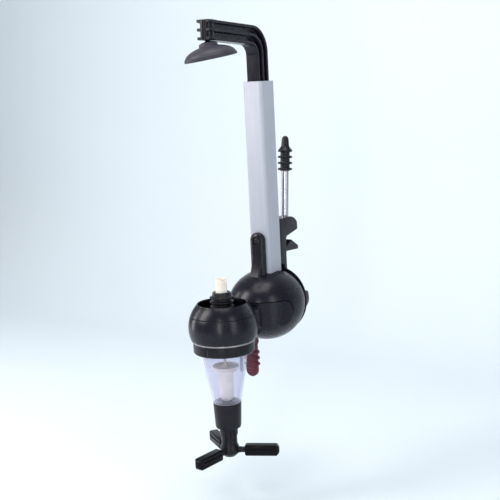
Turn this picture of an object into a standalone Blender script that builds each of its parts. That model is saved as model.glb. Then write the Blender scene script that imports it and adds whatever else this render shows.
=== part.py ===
"""Wall-held single-bottle drinks dispenser (a bar optic), as separate solids.

Sizes are in millimetres here and become metres when a mesh is made.  The origin is the middle of
the flat rear face that meets the wall, +Y points into the wall, +Z is up, the bottle stands at -Y.
"""
import bmesh
import bpy
from math import asin, cos, degrees, pi, radians, sin, sqrt, tan
from mathutils import Matrix, Vector

MM = 0.001
GAP = 0.3                    # clearance between touching pieces

# the two upright axes and the wall
COLUMN_Y = -48.0             # column axis, in front of the wall face
HEAD_Y = -119.4              # bottle, measure and push spider share this axis

# column and sliding arm
COLUMN_SIDE, COLUMN_WALL, COLUMN_CORNER = 21.0, 1.5, 3.5
COLUMN_BOTTOM, COLUMN_TOP = 1.0, 207.0
ARM_TOP, ARM_DEPTH, ARM_WIDTH = 258.8, 16.5, 12.6    # top measured over the cup's pivot
ARM_LIFT = 3.6               # the arm rises towards its tip
ARM_FLANGE, ARM_WEB, ARM_BEND = 2.4, 2.6, 22.8
ARM_FOOT = 84.0              # lower end of the arm's leg, inside the column
ARM_TIP_Y = -125.2
SLEEVE_RADIUS, STUD_RADIUS = 5.5, 3.0

FRONT_FACE = COLUMN_Y - COLUMN_SIDE / 2
TONGUE_THICK, TONGUE_HALF, TONGUE_TOP, TONGUE_SCREW_Z = 5.5, 7.15, 72.8, 65.1
SPRING_PIN_Z = 10.5
PASSAGE = COLUMN_SIDE / 2 + GAP      # half width of every opening round the column
PIN_RADIUS, PIN_HOLE = 1.5, 1.8

# bottle cup on its ball stud
PIVOT_Z = 239.5
BALL_RADIUS, SOCKET_RADIUS = 3.2, 3.5
CUP_RADIUS, CUP_HEIGHT, CUP_RIM, CUP_LEAN = 22.3, 9.6, -11.1, 9.0
VIEW_TURN = 35.0             # the cup leans in the upright plane turned this far from XZ

# globe, inner chassis and carrier
GLOBE_Z, GLOBE_SIDE, GLOBE_NOSE, GLOBE_REAR = 7.5, 34.0, 41.0, 34.5
GLOBE_UP, GLOBE_DOWN, GLOBE_WALL = 30.0, 35.0, 2.4
REAR_PROUD, REAR_UP = 0.8, 32.5      # the rear casing stands proud of the front one
SEAM_Y = 16.5                # seam of the two casings, behind the column axis
CHASSIS_RADIUS, CHASSIS_RIM, CHASSIS_TOP, CHASSIS_BOTTOM = 21.0, 28.7, 22.0, -9.0
SCREW_X, SCREW_Z, POST_FRONT = 21.0, 2.5, 20.2    # casing screws and their posts
BAND_TOP, BAND_BOTTOM = 10.35, -10.6
FORK_TOP, FORK_BOTTOM, FORK_WALL = 13.6, -8.3, 3.2
FORK_END_Y = -9.0            # rounded ends of the fork, in front of the column axis
NECK_HALF = 16.0

# measuring head
BALL_R, BALL_Z = 30.2, -0.4
DOME_TOP, MOUTH_RADIUS = 20.9, 21.1
SEAT_TOP = 3.0               # floor on which the bottle's lip rests
TRIM_TOP, TRIM_BOTTOM, TRIM_RADIUS = -10.9, -12.6, 27.4
COLLAR_TOP, COLLAR_BOTTOM, COLLAR_RADIUS = -12.9, -22.0, 26.8
TUBE_TOP, TUBE_BOTTOM, TUBE_RADIUS, TUBE_BORE = 41.7, -8.0, 5.0, 3.4
STOPPER_TOP, STOPPER_RADIUS, RIB_RADIUS, RIB_PITCH, RIBS = 30.3, 8.2, 10.5, 4.0, 6
VENT_PLACE = 14.2            # vent tube, from the head axis
SLEEVE_TOP, SLEEVE_BOTTOM = -68.2, -91.5

# push spider and valve
HUB_TOP, ARM_Z, REACH = -88.0, -112.0, 44.0
GRIP_START, GRIP_WIDTH, GRIP_HEIGHT = 13.7, 8.4, 9.6
SPIDER_TURNS = (-93.5, 26.5, 146.5)

# release lever under the globe
LEVER_Y, LEVER_PIVOT_Z = -78.5, -23.0
LEVER_TOP, LEVER_BOTTOM, LEVER_WIDTH, LEVER_CORE = -19.0, -56.0, 14.4, 3.8
LEVER_RIBS, LEVER_PITCH, LEVER_FIRST_RIB = 4, 5.5, -33.2

# rear hook and the pourer in its socket
SPINE_HALF, SPINE_REAR, HOOD_REAR, HOOD_TOP, TOOTH_REAR = 8.5, 21.3, 43.6, 82.0, 45.2
POURER_Y, POURER_Z, POURER_LEAN = -14.0, 84.2, 5.2
POURER_RADIUS, SOCKET_DEPTH = 3.5, 16.0

SIDE = Matrix(((0, 0, 1), (1, 0, 0), (0, 1, 0))).to_4x4()      # outline (Y, Z), thickness along X
FRONT = Matrix(((1, 0, 0), (0, 0, -1), (0, 1, 0))).to_4x4()    # outline (X, Z), thickness along Y
PLAN = Matrix.Identity(4)                                      # outline (X, Y), thickness along Z

for old in list(bpy.data.objects):
    bpy.data.objects.remove(old, do_unlink=True)

PARTS = bpy.data.collections.new("drinks_dispenser")
CUTTERS = bpy.data.collections.new("cutters")
bpy.context.scene.collection.children.link(PARTS)
bpy.context.scene.collection.children.link(CUTTERS)


# ---------------------------------------------------------------- materials
def finish(name, colour, roughness, metallic=0.0, transmission=0.0):
    material = bpy.data.materials.new(name)
    material.use_nodes = True
    shader = material.node_tree.nodes["Principled BSDF"]
    shader.inputs["Base Color"].default_value = (*colour, 1.0)
    shader.inputs["Roughness"].default_value = roughness
    shader.inputs["Metallic"].default_value = metallic
    shader.inputs["Transmission Weight"].default_value = transmission
    return material


GLOSS_BLACK = finish("gloss_black_plastic", (0.016, 0.015, 0.019), 0.22)
SATIN_BLACK = finish("satin_black_plastic", (0.020, 0.019, 0.022), 0.42)
BLACK_RUBBER = finish("black_rubber", (0.018, 0.017, 0.019), 0.6)
CUP_RUBBER = finish("grey_black_rubber", (0.060, 0.056, 0.070), 0.5)
ALUMINIUM = finish("satin_aluminium", (0.62, 0.62, 0.66), 0.38, metallic=0.9)
STEEL = finish("steel", (0.56, 0.56, 0.58), 0.25, metallic=1.0)
BLACK_STEEL = finish("blackened_steel", (0.03, 0.03, 0.035), 0.35, metallic=0.6)
CHROME = finish("chrome", (0.80, 0.80, 0.83), 0.08, metallic=1.0)
CREAM = finish("cream_plastic", (0.76, 0.70, 0.64), 0.4)
CLEAR = finish("clear_plastic", (0.86, 0.86, 0.92), 0.05, transmission=0.9)
SMOKE = finish("grey_translucent_plastic", (0.42, 0.43, 0.46), 0.2)
TRIM = finish("silver_trim", (0.52, 0.50, 0.48), 0.2, metallic=0.9)
RED = finish("dark_red_plastic", (0.17, 0.018, 0.03), 0.38)


# ---------------------------------------------------------------- outlines
def arc(centre, radius, start, end, count):
    """Points on an arc, in degrees; radius may be a pair for an ellipse."""
    across, up = radius if isinstance(radius, tuple) else (radius, radius)
    turns = [radians(start + (end - start) * i / count) for i in range(count + 1)]
    return [(centre[0] + across * cos(t), centre[1] + up * sin(t)) for t in turns]


def sphere_arc(radius, centre_z, top_z, bottom_z, count):
    """Profile points (r, z) down the outside of a sphere between two heights."""
    start = degrees(asin((top_z - centre_z) / radius))
    end = degrees(asin((bottom_z - centre_z) / radius))
    return arc((0.0, centre_z), radius, start, end, count)


def rectangle(x0, y0, x1, y1):
    return [(x0, y0), (x1, y0), (x1, y1), (x0, y1)]


def rounded_rectangle(half_x, half_y, corner, count=4):
    outline = []
    for quarter, (sx, sy) in enumerate(((1, 1), (-1, 1), (-1, -1), (1, -1))):
        centre = (sx * (half_x - corner), sy * (half_y - corner))
        outline += arc(centre, corner, 90 * quarter, 90 * quarter + 90, count)
    return outline


# ---------------------------------------------------------------- solids
def place(name, mesh, material, cutter=False):
    solid = bpy.data.objects.new(name, mesh)
    (CUTTERS if cutter else PARTS).objects.link(solid)
    if cutter:
        solid.hide_render = True
        solid.display_type = "WIRE"
    else:
        mesh.materials.append(material)
        mesh.shade_smooth()
        mesh.set_sharp_from_angle(angle=radians(32))
    return solid


def turned(name, profile, material=None, steps=24, at=(0.0, 0.0, 0.0), closed=True, cutter=False):
    """A turned piece.  The profile (r, z) runs top to bottom on its outer side."""
    mesh = bpy.data.meshes.new(name)
    points = [(r * MM, 0.0, z * MM) for r, z in profile]
    edges = [(i, i + 1) for i in range(len(points) - 1)]
    if closed:
        edges.append((len(points) - 1, 0))
    mesh.from_pydata(points, edges, [])
    solid = place(name, mesh, material, cutter)
    solid.location = Vector(at) * MM
    screw = solid.modifiers.new("turn", "SCREW")
    screw.steps = steps
    screw.render_steps = steps
    screw.use_merge_vertices = True
    screw.merge_threshold = 0.00001
    screw.use_smooth_shade = True
    return solid


def extruded(name, loops, low, high, frame, material=None, cutter=False):
    """A flat outline, with any holes after it, given thickness from low to high."""
    curve = bpy.data.curves.new(name + "_outline", "CURVE")
    curve.dimensions = "2D"
    curve.fill_mode = "BOTH"
    curve.extrude = (high - low) / 2 * MM
    for loop in loops:
        spline = curve.splines.new("POLY")
        spline.points.add(len(loop) - 1)
        spline.use_cyclic_u = True
        for point, (u, v) in zip(spline.points, loop):
            point.co = (u * MM, v * MM, 0.0, 1.0)
    flat = bpy.data.objects.new(name + "_outline", curve)
    CUTTERS.objects.link(flat)
    bpy.context.view_layer.update()
    evaluated = flat.evaluated_get(bpy.context.evaluated_depsgraph_get())
    mesh = bpy.data.meshes.new_from_object(evaluated)
    bpy.data.objects.remove(flat, do_unlink=True)
    mesh.name = name
    weld(mesh)
    mesh.transform(frame @ Matrix.Translation((0.0, 0.0, (low + high) / 2 * MM)))
    return place(name, mesh, material, cutter)


def weld(mesh):
    work = bmesh.new()
    work.from_mesh(mesh)
    bmesh.ops.remove_doubles(work, verts=work.verts, dist=0.000001)
    bmesh.ops.recalc_face_normals(work, faces=work.faces)
    work.to_mesh(mesh)
    work.free()


def cylinder(name, radius, start, end, material=None, sides=16, cutter=False):
    """A round bar between two points."""
    a, b = Vector(start) * MM, Vector(end) * MM
    work = bmesh.new()
    bmesh.ops.create_cone(work, cap_ends=True, segments=sides, radius1=radius * MM,
                          radius2=radius * MM, depth=(b - a).length)
    mesh = bpy.data.meshes.new(name)
    work.to_mesh(mesh)
    work.free()
    turn = (b - a).to_track_quat("Z", "Y").to_matrix().to_4x4()
    mesh.transform(Matrix.Translation((a + b) / 2) @ turn)
    return place(name, mesh, material, cutter)


def globe(name, inset, up=GLOBE_UP, material=None):
    """The globe about the column axis, set in by inset: drawn out in front, flatter on top."""
    work = bmesh.new()
    bmesh.ops.create_uvsphere(work, u_segments=24, v_segments=12, radius=1.0)
    for vert in work.verts:
        x, y, z = vert.co
        depth = GLOBE_NOSE if y < 0 else GLOBE_REAR
        height = up if z > 0 else GLOBE_DOWN
        vert.co = Vector((x * (GLOBE_SIDE - inset), COLUMN_Y + y * (depth - inset),
                          GLOBE_Z + z * (height - inset))) * MM
    mesh = bpy.data.meshes.new(name)
    work.to_mesh(mesh)
    work.free()
    return place(name, mesh, material, cutter=material is None)


def cross_hole(name, radius, reach, y, z):
    return cylinder(name, radius, (-reach, y, z), (reach, y, z), cutter=True)


def combine(solid, tool, operation):
    change = solid.modifiers.new(operation.lower() + "_" + tool.name, "BOOLEAN")
    change.operation = operation
    change.object = tool
    change.solver = "EXACT"
    return solid


def cut(solid, tool):
    return combine(solid, tool, "DIFFERENCE")


def join(solid, tool):
    return combine(solid, tool, "UNION")


def keep(solid, tool):
    return combine(solid, tool, "INTERSECT")


def coil(name, radius, wire, bottom, top, turns, material, at, steps=10):
    """A round-wire spring standing on the XY point at, from bottom to top."""
    curve = bpy.data.curves.new(name, "CURVE")
    curve.dimensions = "3D"
    curve.bevel_depth = wire / 2 * MM
    curve.bevel_resolution = 2
    curve.use_fill_caps = True
    spline = curve.splines.new("POLY")
    count = int(turns * steps)
    spline.points.add(count)
    for i, point in enumerate(spline.points):
        turn = 2 * pi * i / steps
        height = bottom + wire / 2 + (top - bottom - wire) * i / count
        x, y = at[0] + radius * cos(turn), at[1] + radius * sin(turn)
        point.co = (x * MM, y * MM, height * MM, 1.0)
    spring = bpy.data.objects.new(name, curve)
    spring.data.materials.append(material)
    PARTS.objects.link(spring)
    return spring


def empty(name, position, turn=Matrix.Identity(4)):
    frame = bpy.data.objects.new(name, None)
    PARTS.objects.link(frame)
    frame.matrix_world = Matrix.Translation(Vector(position) * MM) @ turn
    return frame


def centre_on(point, *solids):
    """Move each piece's origin onto its joint, leaving the piece where it is."""
    for solid in solids:
        solid.data.transform(Matrix.Translation(Vector(point) * -MM))
        solid.location = Vector(point) * MM


def mount_on(parent, *solids):
    """Hang pieces that were modelled about the origin on an empty."""
    for solid in solids:
        solid.parent = parent


# ---------------------------------------------------------------- column and arm
def square(half, corner, y=COLUMN_Y):
    return [(u, v + y) for u, v in rounded_rectangle(half, half, corner)]


def make_column():
    half = COLUMN_SIDE / 2
    loops = [square(half, COLUMN_CORNER), square(half - COLUMN_WALL, COLUMN_CORNER - COLUMN_WALL)]
    column = extruded("column_tube", loops, COLUMN_BOTTOM, COLUMN_TOP, PLAN, ALUMINIUM)
    cut(column, cylinder("column_screw_hole", PIN_HOLE, (0, FRONT_FACE - 5, TONGUE_SCREW_Z),
                         (0, COLUMN_Y, TONGUE_SCREW_Z), cutter=True))
    cut(column, cross_hole("column_pin_hole", PIN_HOLE, 15.0, COLUMN_Y, SPRING_PIN_Z))
    for side, sign in (("left", -1), ("right", 1)):
        near, far = sorted((sign * 6.7, sign * 8.7))
        extruded("guide_pad_" + side, [rectangle(near, COLUMN_Y - 7, far, COLUMN_Y + 7)],
                 190.0, COLUMN_TOP - 2, PLAN, SATIN_BLACK)


def arm_top(y):
    """Height of the arm's upper face, which rises towards the tip."""
    return ARM_TOP - (y - HEAD_Y) * tan(radians(ARM_LIFT))


def arm_line(inset, short, count):
    """The arm's bent line at a distance inside its outer edge, from the foot to the tip, (Y, Z)."""
    lift = radians(ARM_LIFT)
    rear, bend = COLUMN_Y + ARM_DEPTH / 2 - inset, ARM_BEND - 0.8 * inset
    centre = (rear - bend, arm_top(rear - bend) - (inset + bend) / cos(lift))
    turn = arc(centre, bend, 0, 90 - ARM_LIFT, count)
    tip = ARM_TIP_Y + short
    return [(rear, ARM_FOOT + short)] + turn + [(tip, arm_top(tip) - inset / cos(lift))]


def arm_band(outer, inner, short=0.0, count=6):
    """A strip of the arm between two insets, its ends drawn back by short."""
    return arm_line(outer, short, count) + arm_line(inner, short, count)[::-1]


def make_arm():
    half = ARM_WIDTH / 2
    middle = (ARM_DEPTH - ARM_FLANGE) / 2
    arm = extruded("top_arm", [arm_band(0.0, ARM_FLANGE)], -half, half, SIDE, GLOSS_BLACK)
    for label, inset in (("middle", middle), ("inner", ARM_DEPTH - ARM_FLANGE)):
        band = arm_band(inset, inset + ARM_FLANGE)
        join(arm, extruded("arm_flange_" + label, [band], -half, half, SIDE, cutter=True))
    web = arm_band(ARM_FLANGE / 2, ARM_DEPTH - ARM_FLANGE / 2, 1.7, 7)
    join(arm, extruded("arm_web", [web], -ARM_WEB / 2, ARM_WEB / 2, SIDE, cutter=True))
    bottom = ARM_TOP - ARM_DEPTH
    for label, radius, y, sides in (("pivot", SLEEVE_RADIUS, HEAD_Y, 18), ("nose", 3.6, ARM_TIP_Y + 2.1, 13)):
        top = arm_top(y)
        join(arm, cylinder("arm_post_" + label, radius, (0, y, top - ARM_DEPTH + 0.8), (0, y, top - 0.8),
                           sides=sides, cutter=True))
    cut(arm, cylinder("arm_stud_bore", STUD_RADIUS + GAP, (0, HEAD_Y, bottom - 5),
                      (0, HEAD_Y, ARM_TOP + 5), cutter=True))
    cut(arm, cylinder("arm_clip_recess", 4.9, (0, HEAD_Y, ARM_TOP - 2.4),
                      (0, HEAD_Y, ARM_TOP + 5), cutter=True))
    shoe = extruded("slide_shoe", [square(8.7, 1.8)], ARM_FOOT - 14, ARM_FOOT - GAP, PLAN, SATIN_BLACK)
    spring = coil("arm_spring", 5.6, 1.3, 12.4, ARM_FOOT - 14.4, 7, STEEL, (0, COLUMN_Y), steps=8)
    centre_on((0, COLUMN_Y, ARM_FOOT), arm, shoe, spring)


# ---------------------------------------------------------------- bottle cup
def make_cup():
    """The stud turns in the arm's sleeve and the rubber cup tilts on its ball."""
    top = ARM_TOP - 0.5 - PIVOT_Z
    groove = top - 0.7
    ball = arc((0.0, 0.0), BALL_RADIUS, -90, 54, 5)[::-1]
    shank = [(0.0, top), (STUD_RADIUS, top), (STUD_RADIUS, groove), (2.2, groove), (2.2, groove - 0.9),
             (STUD_RADIUS, groove - 0.9), (STUD_RADIUS, 3.4)]
    turned("cup_stud", shank + ball, BLACK_STEEL, steps=16, at=(0, HEAD_Y, PIVOT_Z), closed=False)
    turned("stud_clip", [(2.5, groove - 0.15), (4.5, groove - 0.15), (4.5, groove - 0.75),
                         (2.5, groove - 0.75)], STEEL, steps=16, at=(0, HEAD_Y, PIVOT_Z))
    lean_axis = Vector((sin(radians(VIEW_TURN)), -cos(radians(VIEW_TURN)), 0.0))
    frame = empty("cup_tilt", (0, HEAD_Y, PIVOT_Z), Matrix.Rotation(radians(CUP_LEAN), 4, lean_axis))
    mouth = degrees(asin(1.6 / SOCKET_RADIUS))
    socket = arc((0.0, 0.0), SOCKET_RADIUS, -90, mouth, 4)
    collar = [(4.2, 1.6), (6.6, 0.8), (7.5, 0.2), (7.9, -1.0), (8.0, -1.8)]
    outer = arc((0.0, CUP_RIM), (CUP_RADIUS, CUP_HEIGHT), 66, 0, 5)
    inner = arc((0.0, CUP_RIM - 1.2), (CUP_RADIUS - 1.7, CUP_HEIGHT - 2.6), 0, 90, 5)
    cup = turned("bottle_cup", socket + collar + outer + [(CUP_RADIUS, CUP_RIM - 1.2)] + inner,
                 CUP_RUBBER, closed=False)
    mount_on(frame, cup)


# ---------------------------------------------------------------- globe
def fork_profile(grow=0.0):
    """Side outline (Y, Z) of the fork: flat top and bottom, and a round rear end."""
    half = (FORK_TOP - FORK_BOTTOM) / 2
    front = COLUMN_Y - 50
    centre = (COLUMN_Y + FORK_END_Y - half, (FORK_TOP + FORK_BOTTOM) / 2)
    end = arc(centre, half + grow, -90, 90, 10)
    return [(front, centre[1] - half - grow)] + end + [(front, centre[1] + half + grow)]


def globe_plan(inset, count=28):
    """The globe's level outline at the fork's top, set in by inset."""
    scale = sqrt(1 - ((FORK_TOP - GLOBE_Z) / GLOBE_UP) ** 2)
    outline = []
    for i in range(count):
        turn = 2 * pi * i / count
        deep = GLOBE_NOSE if sin(turn) < 0 else GLOBE_REAR
        outline.append(((GLOBE_SIDE * scale - inset) * cos(turn),
                        COLUMN_Y + (deep * scale - inset) * sin(turn)))
    return outline


def make_front_casing():
    casing = globe("front_casing", 0.0, material=GLOSS_BLACK)
    shoulder = TONGUE_TOP - TONGUE_HALF
    tongue = [(-TONGUE_HALF, 30.0), (TONGUE_HALF, 30.0)] + arc((0, shoulder), TONGUE_HALF, 0, 180, 8)
    back = GAP - FRONT_FACE
    join(casing, extruded("tongue_block", [tongue], back, back + TONGUE_THICK, FRONT, cutter=True))
    lug = [(LEVER_Y + 8, -6.0), (LEVER_Y - 3.4, -6.0)] + arc((LEVER_Y, LEVER_PIVOT_Z), 3.4, 180, 360, 8)
    join(casing, extruded("lever_lug", [lug[::-1]], -0.1, 2.3, SIDE, cutter=True))
    cut(casing, globe("front_hollow", GLOBE_WALL))
    cut(casing, extruded("front_rear_space", [rectangle(-60, COLUMN_Y + SEAM_Y, 60, 60)], -60, 120, PLAN,
                         cutter=True))
    cut(casing, extruded("column_passage", [square(PASSAGE, COLUMN_CORNER + GAP)], 0, 120, PLAN,
                         cutter=True))
    pocket = extruded("fork_pocket", [fork_profile(GAP)], -60, 60, SIDE, cutter=True)
    cut(pocket, extruded("fork_pocket_core", [globe_plan(FORK_WALL + GAP)], -30, 30, PLAN, cutter=True))
    cut(casing, pocket)
    far, floor = (0, FRONT_FACE - 20, TONGUE_SCREW_Z), (0, FRONT_FACE - 3.5, TONGUE_SCREW_Z)
    cut(casing, cylinder("tongue_screw_hole", PIN_HOLE, far, (0, COLUMN_Y, TONGUE_SCREW_Z), cutter=True))
    cut(casing, cylinder("tongue_screw_recess", 3.4, far, floor, cutter=True))
    cut(casing, cross_hole("lug_pin_hole", 1.5, 9.0, LEVER_Y, LEVER_PIVOT_Z))


def hook_profile():
    """Side outline (Y, Z) of the rear spine with its hood, notch and hook tooth."""
    y = COLUMN_Y
    crown = (y + 28.0, 69.0)
    hood = arc(crown, (y + HOOD_REAR - crown[0], HOOD_TOP - crown[1]), 90, 12, 7)
    hood += [(y + 42.6, 69.6), (y + 40.8, 68.5)]
    notch = arc((y + 24.6, 62.2), 2.6, 90, 180, 4)
    tooth = [(y + SPINE_REAR, 55.0), (y + 30.4, 60.2), (y + TOOTH_REAR, 50.4), (y + 44.6, 49.6),
             (y + SPINE_REAR, 50.6)]
    foot = [(y + SPINE_REAR, 25.0), (y + 17.1, 25.0), (y + 17.1, 38.6), (y + PASSAGE, 40.9)]
    return [(y + PASSAGE, HOOD_TOP)] + hood + notch + tooth + foot


def make_rear_casing():
    y = COLUMN_Y
    casing = globe("rear_casing", -REAR_PROUD, REAR_UP, GLOSS_BLACK)
    front = [rectangle(-60, -120, 60, y + SEAM_Y + GAP)]
    cut(casing, extruded("rear_front_space", front, -60, 60, PLAN, cutter=True))
    boss = arc((0.0, 2.0), 15.0, 0, -180, 12) + [(-14.4, 7.4), (-13.0, 8.6), (13.0, 8.6), (14.4, 7.4)]
    join(casing, extruded("wall_boss", [boss[::-1]], 0.0, 24.0, FRONT, cutter=True))
    spine = extruded("spine_block", [hook_profile()[::-1]], -SPINE_HALF, SPINE_HALF, SIDE, cutter=True)
    wide = SPINE_HALF + 1
    plan = [(wide, y), (wide, y + 30)] + arc((SPINE_HALF - 5, y + TOOTH_REAR - 5), 5, 0, 90, 4)
    plan = plan + [(-u, v) for u, v in plan[::-1]]
    keep(spine, extruded("hood_plan", [plan], 20, 100, PLAN, cutter=True))
    join(casing, spine)
    cut(casing, globe("rear_hollow", GLOBE_WALL))
    for side, sign in (("left", -1), ("right", 1)):
        x = sign * SCREW_X
        post = cylinder("screw_post_" + side, 4.2, (x, y + POST_FRONT, SCREW_Z), (x, y + 36, SCREW_Z),
                        cutter=True)
        keep(post, globe("screw_post_end_" + side, -0.2, REAR_UP - 0.4))
        join(casing, post)
        far = (x, y + 45, SCREW_Z)
        hole = cylinder("screw_hole_" + side, PIN_HOLE, (x, y + 15, SCREW_Z), far, cutter=True)
        sink = cylinder("screw_sink_" + side, 3.2, (x, y + 24.2, SCREW_Z), far, cutter=True)
        cut(cut(casing, hole), sink)
    start, end = pourer_point(-SOCKET_DEPTH - 0.5), pourer_point(10.0)
    cut(casing, cylinder("pourer_socket", POURER_RADIUS + GAP, start, end, cutter=True))


def make_chassis():
    profile = [(0, CHASSIS_TOP), (CHASSIS_RADIUS, CHASSIS_TOP), (CHASSIS_RADIUS, 7), (CHASSIS_RIM, 7),
               (CHASSIS_RIM, -2), (CHASSIS_RADIUS, -2), (CHASSIS_RADIUS, CHASSIS_BOTTOM), (0, CHASSIS_BOTTOM)]
    chassis = turned("inner_chassis", profile, SATIN_BLACK, at=(0, COLUMN_Y, 0), closed=False)
    pocket = [square(PASSAGE, COLUMN_CORNER + GAP)]
    cut(chassis, extruded("chassis_pocket", pocket, COLUMN_BOTTOM - GAP, 40, PLAN, cutter=True))
    cut(chassis, cross_hole("chassis_pin_hole", PIN_HOLE, 30.0, COLUMN_Y, SPRING_PIN_Z))
    for side, sign in (("left", -1), ("right", 1)):
        x, far = sign * SCREW_X, COLUMN_Y + 40
        cut(chassis, cylinder("chassis_screw_hole_" + side, PIN_HOLE, (x, COLUMN_Y + 8, SCREW_Z),
                              (x, far, SCREW_Z), cutter=True))
        cut(chassis, cylinder("chassis_post_seat_" + side, 4.5, (x, COLUMN_Y + POST_FRONT - GAP, SCREW_Z),
                              (x, far, SCREW_Z), cutter=True))
        screw("casing_screw_" + side, (x, COLUMN_Y + 26.0, SCREW_Z), (0, -1, 0), 2.9, PIN_RADIUS, 17.0)
    cylinder("spring_pin", PIN_RADIUS, (-20.5, COLUMN_Y, SPRING_PIN_Z), (20.5, COLUMN_Y, SPRING_PIN_Z), STEEL)
    screw("tongue_screw", (0, FRONT_FACE - 5.5, TONGUE_SCREW_Z), (0, 1, 0), 3.0, PIN_RADIUS, 8.0,
          material=BLACK_STEEL)


def screw(name, head_top, direction, head, shank, length, thick=1.7, material=STEEL):
    """A pan-head screw: head_top is the middle of the head's outer face."""
    profile = [(0, 0), (head * 0.75, 0), (head, -0.6), (head, -thick), (shank, -thick),
               (shank, -length + 0.8), (0.6, -length), (0, -length)]
    solid = turned(name, profile, material, steps=16, closed=False)
    solid.location = Vector(head_top) * MM
    solid.rotation_euler = (-Vector(direction)).to_track_quat("Z", "Y").to_euler()


# ---------------------------------------------------------------- carrier
def make_carrier():
    """One moulding: the ring round the measuring head, its neck, and the fork on the globe."""
    outer = sphere_arc(BALL_R, BALL_Z, BAND_TOP, BAND_BOTTOM, 5)
    bore = BALL_R - 4.9
    ring = turned("carrier_yoke", outer + [(bore, BAND_BOTTOM), (bore, BAND_TOP)], GLOSS_BLACK, steps=28,
                  at=(0, HEAD_Y, 0))
    neck = [(-NECK_HALF, HEAD_Y + 23), (NECK_HALF, HEAD_Y + 23), (NECK_HALF, COLUMN_Y - 28),
            (-NECK_HALF, COLUMN_Y - 28)]
    bridge = extruded("neck_block", [neck], FORK_BOTTOM + 0.3, BAND_TOP - 0.3, PLAN, cutter=True)
    fork = extruded("fork_block", [globe_plan(0.0)], FORK_BOTTOM - 1, FORK_TOP + 1, PLAN, cutter=True)
    keep(fork, extruded("fork_side", [fork_profile(-0.1)], -60, 60, SIDE, cutter=True))
    join(bridge, fork)
    cut(bridge, extruded("fork_core", [globe_plan(FORK_WALL)], -40, 40, PLAN, cutter=True))
    cut(bridge, cylinder("head_bore", bore + 1.6, (0, HEAD_Y, -40), (0, HEAD_Y, 40), sides=22, cutter=True))
    return join(ring, bridge)


# ---------------------------------------------------------------- measuring head
def make_head_shells():
    head = (0, HEAD_Y, 0)
    inside = BALL_R - 2.1
    dome_bottom = BAND_TOP + GAP
    inner_top = BALL_Z + sqrt(inside ** 2 - MOUTH_RADIUS ** 2)
    dome = [(MOUTH_RADIUS + 0.7, DOME_TOP)] + sphere_arc(BALL_R, BALL_Z, DOME_TOP - 0.5, dome_bottom, 4)
    dome += sphere_arc(inside, BALL_Z, inner_top, dome_bottom, 3)[::-1] + [(MOUTH_RADIUS, DOME_TOP - 0.4)]
    turned("head_dome", dome, GLOSS_BLACK, steps=28, at=head)
    turned("trim_ring", [(TRIM_RADIUS - 0.4, TRIM_TOP), (TRIM_RADIUS, -11.4), (TRIM_RADIUS, -12.1),
                         (TRIM_RADIUS - 0.4, TRIM_BOTTOM), (24.7, TRIM_BOTTOM), (24.7, TRIM_TOP)],
           TRIM, steps=28, at=head)
    collar = turned("lower_collar",
                    [(COLLAR_RADIUS, COLLAR_TOP), (COLLAR_RADIUS, COLLAR_BOTTOM + 1), (25.9, COLLAR_BOTTOM),
                     (20.7, COLLAR_BOTTOM), (20.7, -20.2), (24.6, -20.2), (24.6, COLLAR_TOP)],
                    SATIN_BLACK, steps=24, at=head)
    for i in range(6):
        turn = radians(60 * i + 30)
        x, y = 29.6 * cos(turn), HEAD_Y + 29.6 * sin(turn)
        cut(collar, cylinder("finger_recess_%d" % i, 3.6, (x, y, -15.2), (x, y, -30), sides=16, cutter=True))


def make_bottle_seat():
    head = (0, HEAD_Y, 0)
    seat = turned("bottle_seat",
                  [(25.0, SEAT_TOP), (25.0, BAND_BOTTOM), (24.3, BAND_BOTTOM), (24.3, -15.3), (22.0, -15.3),
                   (22.0, 0.0), (9.0, 0.0), (9.0, -7.0), (TUBE_RADIUS + GAP, -7.0),
                   (TUBE_RADIUS + GAP, SEAT_TOP)], SATIN_BLACK, steps=24, at=head)
    x, y = vent_place()
    cut(seat, cylinder("vent_hole", 1.8, (x, y, -3), (x, y, 6), sides=16, cutter=True))
    tube = turned("inlet_tube", [(TUBE_RADIUS, TUBE_TOP), (TUBE_RADIUS, TUBE_BOTTOM),
                                 (TUBE_BORE, TUBE_BOTTOM), (TUBE_BORE, TUBE_TOP)], CREAM, steps=24, at=head)
    slant = [(8.0, TUBE_TOP + 2), (1.0, TUBE_TOP + 2), (8.0, TUBE_TOP - 8.5)]
    aim = Matrix.Translation((0, HEAD_Y * MM, 0)) @ FRONT
    cut(tube, extruded("inlet_notch", [slant[::-1]], -8, 8, aim, cutter=True))
    ribs = []
    for i in range(RIBS):
        z = STOPPER_TOP - 3.2 - RIB_PITCH * i
        ribs += [(STOPPER_RADIUS, z + 0.4), (RIB_RADIUS, z - 0.9), (RIB_RADIUS, z - 1.8),
                 (STOPPER_RADIUS, z - 1.9)]
    stopper = [(7.7, STOPPER_TOP), (8.0, STOPPER_TOP - 1.5)] + ribs + [(9.0, 4.4), (9.0, SEAT_TOP + GAP)]
    bore = TUBE_RADIUS + GAP
    turned("bottle_stopper", stopper + [(bore, SEAT_TOP + GAP), (bore, STOPPER_TOP)], BLACK_RUBBER, steps=16,
           at=head)
    turned("vent_tube", [(1.5, SEAT_TOP + 3), (1.5, -41.0), (0.9, -41.0), (0.9, SEAT_TOP + 3)], SMOKE,
           steps=12, at=(x, y, 0))


def vent_place():
    """The vent tube stands at the right of the chamber, near its wall."""
    turn = radians(VIEW_TURN)
    return VENT_PLACE * cos(turn), HEAD_Y + VENT_PLACE * sin(turn)


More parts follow.
